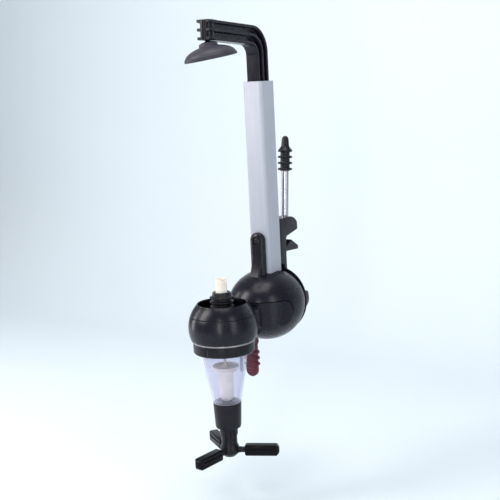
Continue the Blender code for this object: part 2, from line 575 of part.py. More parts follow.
def make_chamber():
    head = (0, HEAD_Y, 0)
    outer = [(24.3, -17.6), (24.3, -19.9), (20.3, -19.9), (20.1, -22), (17.6, -40), (14.5, -56),
             (12.4, -67.9), (10.2, -67.9), (10.2, -73.0)]
    inner = [(8.6, -73.0), (8.6, -68.5), (10.5, -68.5), (10.5, -66.5), (13.0, -56), (16.1, -40),
             (18.7, -22), (18.7, -17.6)]
    turned("measuring_chamber", outer + inner, CLEAR, steps=24, at=head)
    turned("chamber_seal", [(23.0 + u, -16.45 + v) for u, v in arc((0, 0), 0.95, 90, -210, 5)],
           BLACK_RUBBER, steps=24, at=head)
    turned("outlet_seat", [(10.2, -66.8), (10.2, -68.2), (4.2, -68.2), (4.2, -67.4), (4.8, -66.8)],
           BLACK_RUBBER, steps=24, at=head)
    turned("nozzle_sleeve", [(12.4, SLEEVE_TOP), (11.4, -89.0), (10.9, -90.6), (9.4, SLEEVE_BOTTOM),
                             (8.4, SLEEVE_BOTTOM), (8.4, -75.6), (10.5, -75.6), (10.5, SLEEVE_TOP)],
           SATIN_BLACK, steps=24, at=head)
    plate = turned("spring_plate", [(10.2, -73.3), (10.2, -75.3), (2.3, -75.3), (2.3, -73.3)], CREAM,
                   steps=24, at=head)
    for i in range(4):
        turn = radians(90 * i + 38)
        x, y = 6.2 * cos(turn), HEAD_Y + 6.2 * sin(turn)
        cut(plate, cylinder("plate_hole_%d" % i, 2.1, (x, y, -80), (x, y, -70), sides=8, cutter=True))


# ---------------------------------------------------------------- valve and push spider
def make_valve():
    head = (0, HEAD_Y, 0)
    ball = arc((0.0, -61.5), 6.3, 0, -68, 4)
    piston = [(0, -18.0), (1.3, -18.0), (1.3, -34.4), (3.2, -35.4), (3.2, -36.3), (10.2, -36.3),
              (10.9, -35.1), (11.9, -35.5), (11.9, -37.0), (9.6, -37.6), (9.6, -40.2), (7.2, -40.8),
              (6.3, -42.0)]
    piston += ball + [(2.3, -67.34), (2.3, -55.7), (0, -55.7)]
    turned("float_piston", piston, CREAM, steps=20, at=head, closed=False)
    turned("inlet_seal", [(0, -16.3), (4.8, -16.3), (4.8, -17.7), (0, -17.7)], BLACK_RUBBER, steps=20,
           at=head, closed=False)
    spindle = cylinder("valve_spindle", 2.0, (0, HEAD_Y, -56.0), (0, HEAD_Y, -103.7), STEEL)
    spring = coil("valve_spring", 5.2, 0.9, -87.7, -75.6, 4, STEEL, (0, HEAD_Y), steps=8)
    centre_on((0, HEAD_Y, HUB_TOP), spindle, spring)
    hub = [(2.3, HUB_TOP), (8.0, HUB_TOP), (8.0, -96.5), (7.0, -100.0), (7.0, -106.0), (8.2, -108.4),
           (8.2, -114.4), (5.2, -117.4), (0, -118.6)]
    spider = turned("push_spider", [(0, -104.0), (2.3, -104.0)] + hub, SATIN_BLACK, steps=24, at=head,
                    closed=False)
    for i, angle in enumerate(SPIDER_TURNS):
        turn = Matrix.Translation((0, HEAD_Y * MM, ARM_Z * MM)) @ Matrix.Rotation(radians(angle), 4, "Z")
        bar = extruded("spider_bar_%d" % i, [rectangle(4, -2.2, REACH - 2.3, 2.2)], -1.9, 1.9,
                       turn @ FRONT, cutter=True)
        join(spider, bar)
        x, y = 8.6 * cos(radians(angle + 60)), HEAD_Y + 8.6 * sin(radians(angle + 60))
        cut(spider, cylinder("outlet_flute_%d" % i, 2.2, (x, y, -80), (x, y, -106), sides=12, cutter=True))
        centre_on((0, HEAD_Y, ARM_Z), make_grip("finger_grip_%d" % (i + 1), turn))


def make_grip(name, turn):
    """A chamfered finger sleeve with a groove along each side, blind at its outer end."""
    half, tip = GRIP_HEIGHT / 2, REACH
    side = [(GRIP_START, -half + 1), (GRIP_START + 1, -half), (tip - 2.4, -half), (tip, -half + 2.4),
            (tip, half - 2.4), (tip - 2.4, half), (GRIP_START + 1, half), (GRIP_START, half - 1)]
    wide = GRIP_WIDTH / 2
    grip = extruded(name, [side], -wide, wide, turn @ FRONT, BLACK_RUBBER)
    plan = [(GRIP_START - 1, -wide), (tip - 2.2, -wide), (tip, -wide + 2.2), (tip, wide - 2.2),
            (tip - 2.2, wide), (GRIP_START - 1, wide)]
    keep(grip, extruded(name + "_plan", [plan], -9, 9, turn, cutter=True))
    for label, sign in (("a", -1), ("b", 1)):
        edge, depth = sign * (wide + 1), sign * (wide - 1.0)
        low, high = sorted((edge, depth))
        groove = extruded(name + "_groove_" + label, [rectangle(GRIP_START + 3, 0.6, tip - 3, 2.0)], low,
                          high, turn @ FRONT, cutter=True)
        cut(grip, groove)
    pocket = [rectangle(0, -2.5, tip - 2.0, 2.5)]
    return cut(grip, extruded(name + "_pocket", pocket, -2.2, 2.2, turn @ FRONT, cutter=True))


# ---------------------------------------------------------------- release lever
def make_lever():
    top, bottom, half = LEVER_TOP, LEVER_BOTTOM, LEVER_WIDTH / 2
    core = half - 0.9
    outline = arc((0, bottom + core), core, 180, 360, 10) + [(core, top - 2)] \
        + [(core - 2, top), (-core + 2, top), (-core, top - 2)]
    frame = Matrix.Translation((0, LEVER_Y * MM, 0)) @ FRONT
    lever = extruded("release_lever", [outline], -LEVER_CORE / 2, LEVER_CORE / 2, frame, RED)
    for i in range(LEVER_RIBS):
        z = LEVER_FIRST_RIB - LEVER_PITCH * i
        width = half if i < LEVER_RIBS - 1 else half - 1.6
        rib = [(-width, z - 1.3), (width, z - 1.3), (width, z + 1.3), (-width, z + 1.3)]
        join(lever, extruded("lever_rib_%d" % i, [rib], -2.7, 2.7, frame, cutter=True))
    eye = arc((LEVER_Y, LEVER_PIVOT_Z), 3.6, 0, 360, 16)[:-1]
    join(lever, extruded("lever_eye", [eye], -core, core, SIDE, cutter=True))
    slot = rectangle(-2.6, LEVER_PIVOT_Z - 4.4, 2.6, top + 3)
    cut(lever, extruded("lever_slot", [slot], -10, 10, frame, cutter=True))
    cut(lever, cross_hole("lever_hole", 1.5, 9.0, LEVER_Y, LEVER_PIVOT_Z))
    centre_on((0, LEVER_Y, LEVER_PIVOT_Z), lever)
    cylinder("lever_pin", 1.2, (-core, LEVER_Y, LEVER_PIVOT_Z), (core, LEVER_Y, LEVER_PIVOT_Z), BLACK_STEEL)
    make_lever_spring()


def make_lever_spring():
    """Two close turns round the lever's pin, in the lever's slot."""
    curve = bpy.data.curves.new("lever_spring", "CURVE")
    curve.dimensions = "3D"
    curve.bevel_depth = 0.3 * MM
    curve.bevel_resolution = 2
    curve.use_fill_caps = True
    spline = curve.splines.new("POLY")
    steps, turns, pitch = 12, 2, 0.75
    spline.points.add(steps * turns)
    for i, point in enumerate(spline.points):
        turn = 2 * pi * i / steps
        x = -pitch * (1 + i / steps)
        point.co = (x * MM, (LEVER_Y + 2.2 * cos(turn)) * MM, (LEVER_PIVOT_Z + 2.2 * sin(turn)) * MM, 1.0)
    spring = bpy.data.objects.new("lever_spring", curve)
    spring.data.materials.append(STEEL)
    PARTS.objects.link(spring)


# ---------------------------------------------------------------- pourer
def pourer_point(along):
    lean = radians(POURER_LEAN)
    return 0.0, POURER_Y + along * sin(lean), POURER_Z + along * cos(lean)


def make_pourer():
    """A chrome tube with a ribbed stopper, parked upright in the hood's socket."""
    frame = empty("pourer_axis", (0, POURER_Y, POURER_Z), Matrix.Rotation(-radians(POURER_LEAN), 4, "X"))
    wall = [(POURER_RADIUS, 50.0), (POURER_RADIUS, -SOCKET_DEPTH), (2.8, -SOCKET_DEPTH), (2.8, 50.0)]
    tube = turned("pourer_tube", wall, CHROME, steps=16)
    profile = [(0, 71.8), (1.8, 71.3), (3.1, 69.8), (3.5, 66.5), (3.6, 63.0)]
    for i in range(4):
        z = 58.6 - 5.6 * i
        flare = 2.6 if i == 0 else 0.5
        profile += [(4.4, z + flare), (6.7, z), (6.7, z - 1.6), (4.4, z - 2.0)]
    profile += [(4.4, 39.2), (POURER_RADIUS + GAP, 39.2), (POURER_RADIUS + GAP, 50.4), (0, 50.4)]
    grip = turned("pourer_grip", profile, BLACK_RUBBER, steps=16, closed=False)
    mount_on(frame, tube, grip)


make_column()
make_arm()
make_cup()
make_front_casing()
make_rear_casing()
make_chassis()
make_carrier()
make_head_shells()
make_bottle_seat()
make_chamber()
make_valve()
make_lever()
make_pourer()
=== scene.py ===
from math import asin, cos, degrees, pi, radians, sin, sqrt, tan

import bmesh
import bpy
from mathutils import Matrix, Vector


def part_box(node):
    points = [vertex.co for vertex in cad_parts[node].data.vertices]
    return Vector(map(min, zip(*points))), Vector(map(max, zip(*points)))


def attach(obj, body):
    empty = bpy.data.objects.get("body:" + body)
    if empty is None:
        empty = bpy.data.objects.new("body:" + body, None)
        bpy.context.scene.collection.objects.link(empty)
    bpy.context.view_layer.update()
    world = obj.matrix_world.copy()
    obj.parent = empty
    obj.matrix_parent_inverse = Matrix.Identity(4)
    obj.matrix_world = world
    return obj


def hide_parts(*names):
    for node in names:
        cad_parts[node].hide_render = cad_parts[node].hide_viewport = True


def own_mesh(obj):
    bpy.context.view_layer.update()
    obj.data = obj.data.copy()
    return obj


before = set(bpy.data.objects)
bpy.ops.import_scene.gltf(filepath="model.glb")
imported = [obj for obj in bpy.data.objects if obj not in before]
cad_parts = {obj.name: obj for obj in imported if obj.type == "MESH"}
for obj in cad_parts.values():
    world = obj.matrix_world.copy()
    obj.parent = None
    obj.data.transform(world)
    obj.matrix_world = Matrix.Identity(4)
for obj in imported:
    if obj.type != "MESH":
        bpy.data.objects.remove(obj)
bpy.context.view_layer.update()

MM = 0.001
GAP = 0.3
SMOOTH = radians(35)      # faces that meet at less than this are shaded as one surface


def middle(node, axis):
    low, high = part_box(node)
    return round((low[axis] + high[axis]) / 2 / MM, 2)


# the two upright axes
COLUMN_Y = middle("column_tube", 1)
HEAD_Y = middle("head_dome", 1)

# column and arm
COLUMN_HALF, COLUMN_WALL, COLUMN_CORNER = 10.5, 1.5, 3.5
COLUMN_BOTTOM, COLUMN_TOP = 1.0, 207.0
FRONT_FACE = COLUMN_Y - COLUMN_HALF
PASSAGE = COLUMN_HALF + GAP
ARM_TOP, ARM_LIFT, ARM_DEPTH, ARM_HALF = 258.8, 3.6, 16.5, 6.3
ARM_FLANGE, ARM_WEB_HALF, ARM_BEND = 2.4, 1.3, 22.8
ARM_FOOT, ARM_TIP_Y = 84.0, -125.2
ARM_LEVELS = (0.0, (ARM_DEPTH - ARM_FLANGE) / 2, ARM_DEPTH - ARM_FLANGE)      # depth of each flange
SLEEVE_RADIUS, STUD_RADIUS, BEAD_RADIUS, RECESS_RADIUS = 5.5, 3.0, 3.6, 4.9
ARM_COIL = (5.6, 1.3, 12.4, ARM_FOOT - 14.4, 7)      # radius, wire, bottom, top, turns
TONGUE_THICK, TONGUE_HALF, TONGUE_TOP, SCREW_Z = 5.5, 7.15, 72.8, 65.1

# cup
PIVOT_Z, SOCKET_RADIUS, CUP_LEAN, VIEW_TURN = 239.5, 3.5, 9.0, 35.0
CUP_RADIUS, CUP_HEIGHT, CUP_RIM = 22.3, 9.6, -11.1

# globe and carrier
GLOBE_Z, GLOBE_SIDE, GLOBE_NOSE, GLOBE_REAR = 7.5, 34.0, 41.0, 34.5
GLOBE_UP, GLOBE_DOWN, GLOBE_WALL = 30.0, 35.0, 2.4
REAR_PROUD, REAR_UP, SEAM_Y = 0.8, 32.5, 16.5
LIP_RADIUS, LIP_SINK, LIP_COUNT, LIP_SIDES = 0.75, 0.25, 120, 10
BOSS_DEPTH, BOSS_RADIUS, BOSS_Z = 24.0, 15.0, 2.0
POST_X, POST_Z, POST_FRONT, POST_RADIUS = 21.0, 2.5, 20.2, 4.2
POST_BORE, SINK_RADIUS, SINK_Y = 1.8, 3.27, 24.13
BAND_TOP, BAND_BOTTOM = 10.35, -10.6
FORK_TOP, FORK_BOTTOM, FORK_WALL, FORK_END = 13.6, -8.3, 3.2, -9.0
NECK_HALF = 16.0

# measuring head
BALL_R, BALL_Z, DOME_TOP, MOUTH_RADIUS = 30.2, -0.4, 20.9, 21.1
SEAT_TOP, TUBE_TOP, TUBE_BOTTOM, TUBE_RADIUS, TUBE_BORE = 3.0, 41.7, -8.0, 5.0, 3.4
STOPPER_TOP, STOPPER_RADIUS, RIB_RADIUS, RIB_PITCH, RIBS = 30.3, 8.2, 10.5, 4.0, 6
VENT_PLACE, VENT_RADIUS, VENT_BORE, VENT_BOTTOM = 14.2, 1.5, 0.9, -41.0
SCALLOPS, SCALLOP_PLACE, SCALLOP_RADIUS, SCALLOP_TOP = 6, 29.6, 3.6, -15.2
CHAMBER_BALL_Z, CHAMBER_BALL_R = -61.5, 6.3
VALVE_COIL_TOP, VALVE_COIL_KEEP = -75.6, 0.34
VALVE_COIL = (5.2, 0.9, -87.7, VALVE_COIL_TOP, 4)

# spider and lever
ARM_Z, REACH, GRIP_START, GRIP_HALF_W, GRIP_HALF_H = -112.0, 44.0, 13.7, 4.2, 4.8
SPIDER_TURNS = (-93.5, 26.5, 146.5)
FLUTE_PLACE, FLUTE_RADIUS = 8.6, 2.2
LEVER_Y, LEVER_Z, LEVER_TOP, LEVER_BOTTOM = -78.5, -23.0, -19.0, -56.0
LEVER_HALF, LEVER_CORE, LEVER_PITCH, LEVER_RIBS, LEVER_FIRST_RIB = 7.2, 1.9, 5.5, 4, -33.2
LUG_RADIUS, EYE_RADIUS, EYE_BORE, AXLE_RADIUS = 3.4, 3.6, 1.5, 1.2
LEVER_COIL_RADIUS, LEVER_COIL_STEPS = 2.2, 24

# rear hook and pourer
SPINE_HALF, SPINE_REAR, HOOD_REAR, HOOD_TOP, TOOTH_REAR = 8.5, 21.3, 43.6, 82.0, 45.2
POURER_Y, POURER_Z, POURER_LEAN, POURER_RADIUS = -14.0, 84.2, 5.2, 3.5
POURER_BORE, POURER_BOTTOM, POURER_TOP, POURER_RIBS, POURER_RIB_PITCH = 2.8, -16.0, 50.0, 4, 5.6

SIDE = Matrix(((0, 0, 1), (1, 0, 0), (0, 1, 0))).to_4x4()      # outline (Y, Z), thickness X
FRONT = Matrix(((1, 0, 0), (0, 0, -1), (0, 1, 0))).to_4x4()    # outline (X, Z), thickness Y
PLAN = Matrix.Identity(4)                                      # outline (X, Y), thickness Z


# ---------------------------------------------------------------- materials
class Look:
    """A material under construction: a Principled shader with nodes in front of it."""

    def __init__(self, name, colour, roughness, metallic=0.0):
        self.material = bpy.data.materials.new(name)
        self.material.use_nodes = True
        self.tree = self.material.node_tree
        self.shader = self.tree.nodes["Principled BSDF"]
        self.colour, self.roughness = colour, roughness
        self.set(self.shader, {"Base Color": (*colour, 1.0), "Roughness": roughness, "Metallic": metallic})
        self.place = self.node("ShaderNodeTexCoord").outputs["Object"]

    def node(self, kind, sockets=None, **settings):
        node = self.tree.nodes.new(kind)
        for key, value in settings.items():
            setattr(node, key, value)
        self.set(node, sockets or {})
        return node

    def set(self, node, sockets):
        for key, value in sockets.items():
            if isinstance(value, bpy.types.NodeSocket):
                self.tree.links.new(value, node.inputs[key])
            else:
                node.inputs[key].default_value = value

    def noise(self, scale, detail=3.0, stretch=None):
        place = self.place
        if stretch:
            place = self.node("ShaderNodeMapping", {"Vector": place, "Scale": stretch}).outputs["Vector"]
        node = self.node("ShaderNodeTexNoise", {"Vector": place, "Scale": scale, "Detail": detail,
                                                "Roughness": 0.55})
        return node.outputs["Fac"]

    def spread(self, value, low, high, low_in=0.3, high_in=0.7):
        node = self.node("ShaderNodeMapRange", {"Value": value, "From Min": low_in, "From Max": high_in,
                                                "To Min": low, "To Max": high})
        return node.outputs["Result"]

    def mix(self, factor, first, second):
        node = self.node("ShaderNodeMix", data_type="RGBA")
        for index, value in ((0, factor), (6, first), (7, second)):
            if isinstance(value, bpy.types.NodeSocket):
                self.tree.links.new(value, node.inputs[index])
            else:
                node.inputs[index].default_value = value
        return node.outputs[2]

    def shade(self, share):
        return (*[min(1.0, channel * share) for channel in self.colour], 1.0)

    def mottle(self, scale, low, high):
        """Colour that drifts between a darker and a lighter tone."""
        return self.mix(self.spread(self.noise(scale, 4.0), 0.0, 1.0), self.shade(low), self.shade(high))

    def edges(self, colour, radius, light, amount):
        """Rounds sharp edges in the shading and lightens the colour there: partly handling wear, partly a
        painted edge highlight.
        """
        bevel = self.node("ShaderNodeBevel", {"Radius": radius * MM}, samples=4)
        flat = self.node("ShaderNodeNewGeometry").outputs["Normal"]
        dot = self.node("ShaderNodeVectorMath", operation="DOT_PRODUCT")
        self.tree.links.new(bevel.outputs["Normal"], dot.inputs[0])
        self.tree.links.new(flat, dot.inputs[1])
        # edge mask: lighter colour at sharp edges, partly wear and partly a painted highlight
        wear_and_painted_highlight = self.spread(dot.outputs["Value"], amount, 0.0, 0.80, 0.985)
        return bevel.outputs["Normal"], self.mix(wear_and_painted_highlight, colour, light)

    def finish(self, colour, rough, height, strength, depth, normal=None):
        bump = self.node("ShaderNodeBump", {"Height": height, "Strength": strength, "Distance": depth * MM})
        if normal is not None:
            self.tree.links.new(normal, bump.inputs["Normal"])
        self.set(self.shader, {"Base Color": colour, "Roughness": rough, "Normal": bump.outputs["Normal"]})
        return self.material


def moulded(name, colour, roughness, gloss=0.5, grain=1800.0, strength=0.25, depth=0.03, light=2.6,
            swing=0.05):
    """Injection-moulded plastic or rubber: fine spark-eroded grain, slight flow marks, edges lightened partly
    by wear and partly as a painted highlight.
    """
    look = Look(name, colour, roughness)
    normal, tone = look.edges(look.mottle(70.0, 0.86, 1.22), 0.45, look.shade(light), 0.55)
    flow = look.noise(220.0, 5.0, (1.0, 1.0, 0.35))
    rough = look.spread(flow, roughness - swing, roughness + swing)
    look.set(look.shader, {"Specular IOR Level": gloss})
    return look.finish(tone, rough, look.noise(grain, 2.0), strength, depth, normal)


def drawn_metal(name, colour, roughness, metallic, stretch, scale, strength, depth):
    """Metal with fine lines along the way it was drawn."""
    look = Look(name, colour, roughness, metallic)
    lines = look.noise(scale, 3.0, stretch)
    # edges lightened here too: partly wear, partly a painted highlight
    normal, tone = look.edges(look.mix(look.spread(lines, 0.0, 1.0), look.shade(0.93), look.shade(1.05)), 0.3,
                              look.shade(1.12), 0.5)
    rough = look.spread(look.noise(160.0, 4.0), roughness - 0.05, roughness + 0.06)
    return look.finish(tone, rough, lines, strength, depth, normal)


def clear_plastic(name, tint, body):
    """Thin clear plastic: mostly see-through, with gloss that grows at grazing angles."""
    look = Look(name, body, 0.06)
    look.set(look.shader, {"Specular IOR Level": 0.6, "Base Color": look.mottle(120.0, 0.97, 1.02)})
    swirl = look.node("ShaderNodeBump", {"Height": look.noise(60.0, 2.0, (1.0, 1.0, 0.4)), "Strength": 0.25,
                                         "Distance": 0.06 * MM})
    look.set(look.shader, {"Normal": swirl.outputs["Normal"]})
    through = look.node("ShaderNodeBsdfTransparent", {"Color": (*tint, 1.0)})
    facing = look.node("ShaderNodeLayerWeight", {"Blend": 0.32, "Normal": swirl.outputs["Normal"]})
    share = look.spread(facing.outputs["Facing"], 0.07, 0.60, 0.05, 1.0)
    both = look.node("ShaderNodeMixShader")
    for index, socket in ((0, share), (1, through.outputs["BSDF"]), (2, look.shader.outputs["BSDF"])):
        look.tree.links.new(socket, both.inputs[index])
    out = look.tree.nodes["Material Output"]
    look.tree.links.new(both.outputs["Shader"], out.inputs["Surface"])
    return look.material


GLOSS_BLACK = moulded("black_gloss_moulding", (0.0060, 0.0052, 0.0105), 0.27, strength=0.10, gloss=0.26)
SATIN_BLACK = moulded("black_satin_moulding", (0.0055, 0.0048, 0.0085), 0.36, strength=0.2, gloss=0.24)
DARK_RUBBER = moulded("black_rubber_skin", (0.0045, 0.004, 0.0065), 0.36, grain=1300.0, strength=0.25,
                      depth=0.04, gloss=0.30)
CUP_RUBBER = moulded("grey_rubber_skin", (0.034, 0.031, 0.043), 0.46, grain=1100.0, strength=0.35, depth=0.05,
                     light=1.6, gloss=0.3)
GRIP_RUBBER = moulded("grip_rubber_skin", (0.0025, 0.002, 0.0038), 0.32, grain=1500.0, strength=0.2,
                      gloss=0.11)
ALUMINIUM = drawn_metal("anodised_aluminium", (0.40, 0.41, 0.465), 0.55, 0.22, (1.0, 1.0, 0.012), 1500.0,
                        0.35, 0.03)
STEEL = drawn_metal("turned_steel", (0.52, 0.52, 0.54), 0.28, 1.0, (0.3, 0.3, 3.0), 900.0, 0.3, 0.02)
CHROME = drawn_metal("polished_chrome", (0.50, 0.50, 0.54), 0.14, 1.0, (1.0, 1.0, 0.05), 700.0, 0.08, 0.01)
BLACK_STEEL = drawn_metal("blackened_steel", (0.035, 0.034, 0.038), 0.35, 0.85, (1.0, 1.0, 1.0), 1200.0,
                          0.3, 0.02)
TRIM = drawn_metal("silver_foil_ring", (0.36, 0.34, 0.34), 0.34, 0.8, (1.0, 1.0, 4.0), 500.0, 0.2, 0.02)
CREAM = moulded("cream_acetal", (0.88, 0.78, 0.68), 0.36, grain=900.0, strength=0.12, light=1.08, swing=0.05)
RED = moulded("dark_red_moulding", (0.085, 0.009, 0.017), 0.34, strength=0.15, light=1.7, gloss=0.35)
CLEAR = clear_plastic("clear_measure", (0.915, 0.912, 0.955), (0.74, 0.74, 0.86))
SMOKE = clear_plastic("grey_vent", (0.62, 0.63, 0.68), (0.40, 0.41, 0.46))
CREAM.node_tree.nodes["Principled BSDF"].inputs["Subsurface Weight"].default_value = 0.12
CREAM.node_tree.nodes["Principled BSDF"].inputs["Subsurface Radius"].default_value = (0.004, 0.003, 0.002)


# ---------------------------------------------------------------- outlines
def arc(centre, radius, start, end, count):
    across, up = radius if isinstance(radius, tuple) else (radius, radius)
    turns = [radians(start + (end - start) * i / count) for i in range(count + 1)]
    return [(centre[0] + across * cos(t), centre[1] + up * sin(t)) for t in turns]


def sphere_arc(radius, centre_z, top_z, bottom_z, count):
    start = degrees(asin((top_z - centre_z) / radius))
    end = degrees(asin((bottom_z - centre_z) / radius))
    return arc((0.0, centre_z), radius, start, end, count)


def rectangle(x0, y0, x1, y1):
    return [(x0, y0), (x1, y0), (x1, y1), (x0, y1)]


def rounded_rectangle(half_x, half_y, corner, count=10, at=(0.0, 0.0)):
    outline = []
    for quarter, (sx, sy) in enumerate(((1, 1), (-1, 1), (-1, -1), (1, -1))):
        centre = (at[0] + sx * (half_x - corner), at[1] + sy * (half_y - corner))
        outline += arc(centre, corner, 90 * quarter, 90 * quarter + 90, count)
    return outline


def fillet(points, radius, closed=True, steps=4):
    """Rounds each real corner of a line, leaving points that already lie on a smooth arc."""
    count, result = len(points), []
    for i, point in enumerate(points):
        here = Vector(point)
        if not closed and i in (0, count - 1):
            result.append(tuple(here))
            continue
        back, ahead = Vector(points[i - 1]) - here, Vector(points[(i + 1) % count]) - here
        if min(back.length, ahead.length) < 1e-6:
            continue
        angle = back.angle(ahead)
        if angle > radians(152):
            result.append(tuple(here))
            continue
        reach = min(radius / tan(angle / 2), back.length * 0.45, ahead.length * 0.45)
        first, last = here + back.normalized() * reach, here + ahead.normalized() * reach
        for k in range(steps + 1):
            t = k / steps
            result.append(tuple(first * (1 - t) ** 2 + here * (2 * t * (1 - t)) + last * t ** 2))
    return result


def inset(outline, depth):
    """A closed outline (counter-clockwise) moved inwards by depth."""
    result, count = [], len(outline)
    for i in range(count):
        here = Vector(outline[i])
        a = (here - Vector(outline[i - 1])).normalized()
        b = (Vector(outline[(i + 1) % count]) - here).normalized()
        normal = Vector((-a.y - b.y, a.x + b.x))
        length = normal.length
        if length < 1e-6:
            result.append(tuple(here))
            continue
        normal /= length
        result.append(tuple(here + normal * depth / max(0.35, length / 2)))
    return result


def tidy(outline):
    """Drops repeated points and makes the outline counter-clockwise."""
    kept = [p for i, p in enumerate(outline) if (Vector(p) - Vector(outline[i - 1])).length > 1e-5]
    area = sum(kept[i - 1][0] * p[1] - p[0] * kept[i - 1][1] for i, p in enumerate(kept))
    return kept if area > 0 else kept[::-1]


# ---------------------------------------------------------------- solids
def solid_from(name, work, material):
    bmesh.ops.remove_doubles(work, verts=work.verts, dist=0.0000005)
    bmesh.ops.recalc_face_normals(work, faces=work.faces)
    mesh = bpy.data.meshes.new(name)
    work.to_mesh(mesh)
    work.free()
    if material is not None:
        mesh.materials.append(material)
    mesh.shade_smooth()
    mesh.set_sharp_from_angle(angle=SMOOTH)
    solid = bpy.data.objects.new(name, mesh)
    bpy.context.scene.collection.objects.link(solid)
    return solid


def loft(name, rings, material=None, closed=False):
    """Joins rings of equal counts.  The ends are capped unless the rings close on themselves."""
    work = bmesh.new()
    grid = [[work.verts.new(Vector(p) * MM) for p in ring] for ring in rings]
    count = len(grid[0])
    pairs = list(zip(grid, grid[1:])) + ([(grid[-1], grid[0])] if closed else [])
    for first, second in pairs:
        for k in range(count):
            work.faces.new((first[k], first[(k + 1) % count], second[(k + 1) % count], second[k]))
    if not closed:
        work.faces.new(grid[0][::-1])
        work.faces.new(grid[-1])
    return solid_from(name, work, material)


def turned(name, profile, material=None, at=(0.0, 0.0, 0.0), closed=True, edge=0.3, segments=96, turn=None):
    """A turned piece from its profile (r, z), with every corner rounded to edge."""
    line = fillet(profile, edge, closed) if edge else list(profile)
    work = bmesh.new()
    place = Matrix.Translation(Vector(at)) @ (turn or Matrix.Identity(4))
    rows = []
    for r, z in line:
        if r < 1e-6:
            rows.append([work.verts.new(place @ Vector((0.0, 0.0, z)) * MM)])
            continue
        turns = [2 * pi * k / segments for k in range(segments)]
        rows.append([work.verts.new(place @ Vector((r * cos(t), r * sin(t), z)) * MM) for t in turns])
    for first, second in list(zip(rows, rows[1:])) + ([(rows[-1], rows[0])] if closed else []):
        if len(first) == len(second) == 1:
            continue
        for k in range(segments):
            j = (k + 1) % segments
            if len(first) == 1:
                work.faces.new((first[0], second[j], second[k]))
            elif len(second) == 1:
                work.faces.new((first[k], first[j], second[0]))
            else:
                work.faces.new((first[k], first[j], second[j], second[k]))
    return solid_from(name, work, material)


def slab(name, outline, low, high, frame_matrix, material=None, low_edge=0.0, high_edge=0.0, steps=4,
         crown=0.0):
    """An outline with thickness; either rim may be rounded, or crowned when a reach is given."""
    outline = tidy(outline)
    reach = crown or high_edge
    levels = []
    if low_edge:
        levels += [(low + low_edge * (1 - sin(t)), low_edge * (1 - cos(t)))
                   for t in [pi / 2 * (1 - k / steps) for k in range(steps)]]
    levels.append((low + low_edge, 0.0))
    levels.append((high - high_edge, 0.0))
    if high_edge:
        levels += [(high - high_edge * (1 - sin(t)), reach * (1 - cos(t)))
                   for t in [pi / 2 * (k + 1) / steps for k in range(steps)]]
    rings = [[frame_matrix @ Vector((u, v, z)) for u, v in inset(outline, depth)] for z, depth in levels]
    return loft(name, rings, material)


def bar(name, radius, start, end, material=None, segments=48, edge=0.0):
    """A round bar between two points."""
    a, b = Vector(start), Vector(end)
    length = (b - a).length
    turn = (b - a).to_track_quat("Z", "Y").to_matrix().to_4x4()
    return turned(name, [(0, length), (radius, length), (radius, 0), (0, 0)], material, at=a, closed=False,
                  edge=edge, segments=segments, turn=turn)


def ellipsoid(name, depth, up=GLOBE_UP, material=None, across=128, down=72):
    """The globe about the column axis, set in by depth."""
    work = bmesh.new()
    bmesh.ops.create_uvsphere(work, u_segments=across, v_segments=down, radius=1.0)
    for vert in work.verts:
        x, y, z = vert.co
        reach = GLOBE_NOSE if y < 0 else GLOBE_REAR
        height = up if z > 0 else GLOBE_DOWN
        vert.co = Vector((x * (GLOBE_SIDE - depth), COLUMN_Y + y * (reach - depth),
                          GLOBE_Z + z * (height - depth))) * MM
    return solid_from(name, work, material)


def pipe(name, path, radius, material, sides=14):
    """A round wire along a line of points."""
    points = [Vector(p) for p in path]
    rings, normal = [], None
    for i, point in enumerate(points):
        ahead = (points[min(i + 1, len(points) - 1)] - points[max(i - 1, 0)]).normalized()
        if normal is None:
            normal = ahead.orthogonal().normalized()
        normal = (normal - ahead * normal.dot(ahead)).normalized()
        side = ahead.cross(normal)
        rings.append([point + (normal * cos(2 * pi * k / sides) + side * sin(2 * pi * k / sides)) * radius
                      for k in range(sides)])
    return loft(name, rings, material)


def coil(name, centre_y, radius, wire, bottom, top, turns, material):
    """A compression spring with closed ends."""
    count = turns * 28
    path = []
    for i in range(count + 1):
        angle, share = 2 * pi * turns * i / count, i / count
        height = bottom + wire / 2 + (top - bottom - wire) * share
        path.append((radius * cos(angle), centre_y + radius * sin(angle), height))
    return pipe(name, path, wire / 2, material)


def shape(solid, *changes):
    """Joins, cuts or keeps with each (operation, tool) in turn, then makes the result real."""
    for operation, tool in changes:
        change = solid.modifiers.new(tool.name, "BOOLEAN")
        change.operation = {"+": "UNION", "-": "DIFFERENCE", "&": "INTERSECT"}[operation]
        change.object = tool
        change.solver = "EXACT"
    bpy.context.view_layer.update()
    result = bpy.data.meshes.new_from_object(solid.evaluated_get(bpy.context.evaluated_depsgraph_get()))
    solid.modifiers.clear()
    old, solid.data = solid.data, result
    result.name = solid.name
    bpy.data.meshes.remove(old)
    for _, tool in changes:
        bpy.data.objects.remove(tool, do_unlink=True)
    result.shade_smooth()
    result.set_sharp_from_angle(angle=SMOOTH)
    return solid


def piece(solid, body, slot, *nodes):
    """Rides on a body and stands for CAD nodes; the slot, its finish's name, is not used."""
    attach(solid, body)
    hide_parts(*nodes)
    return solid


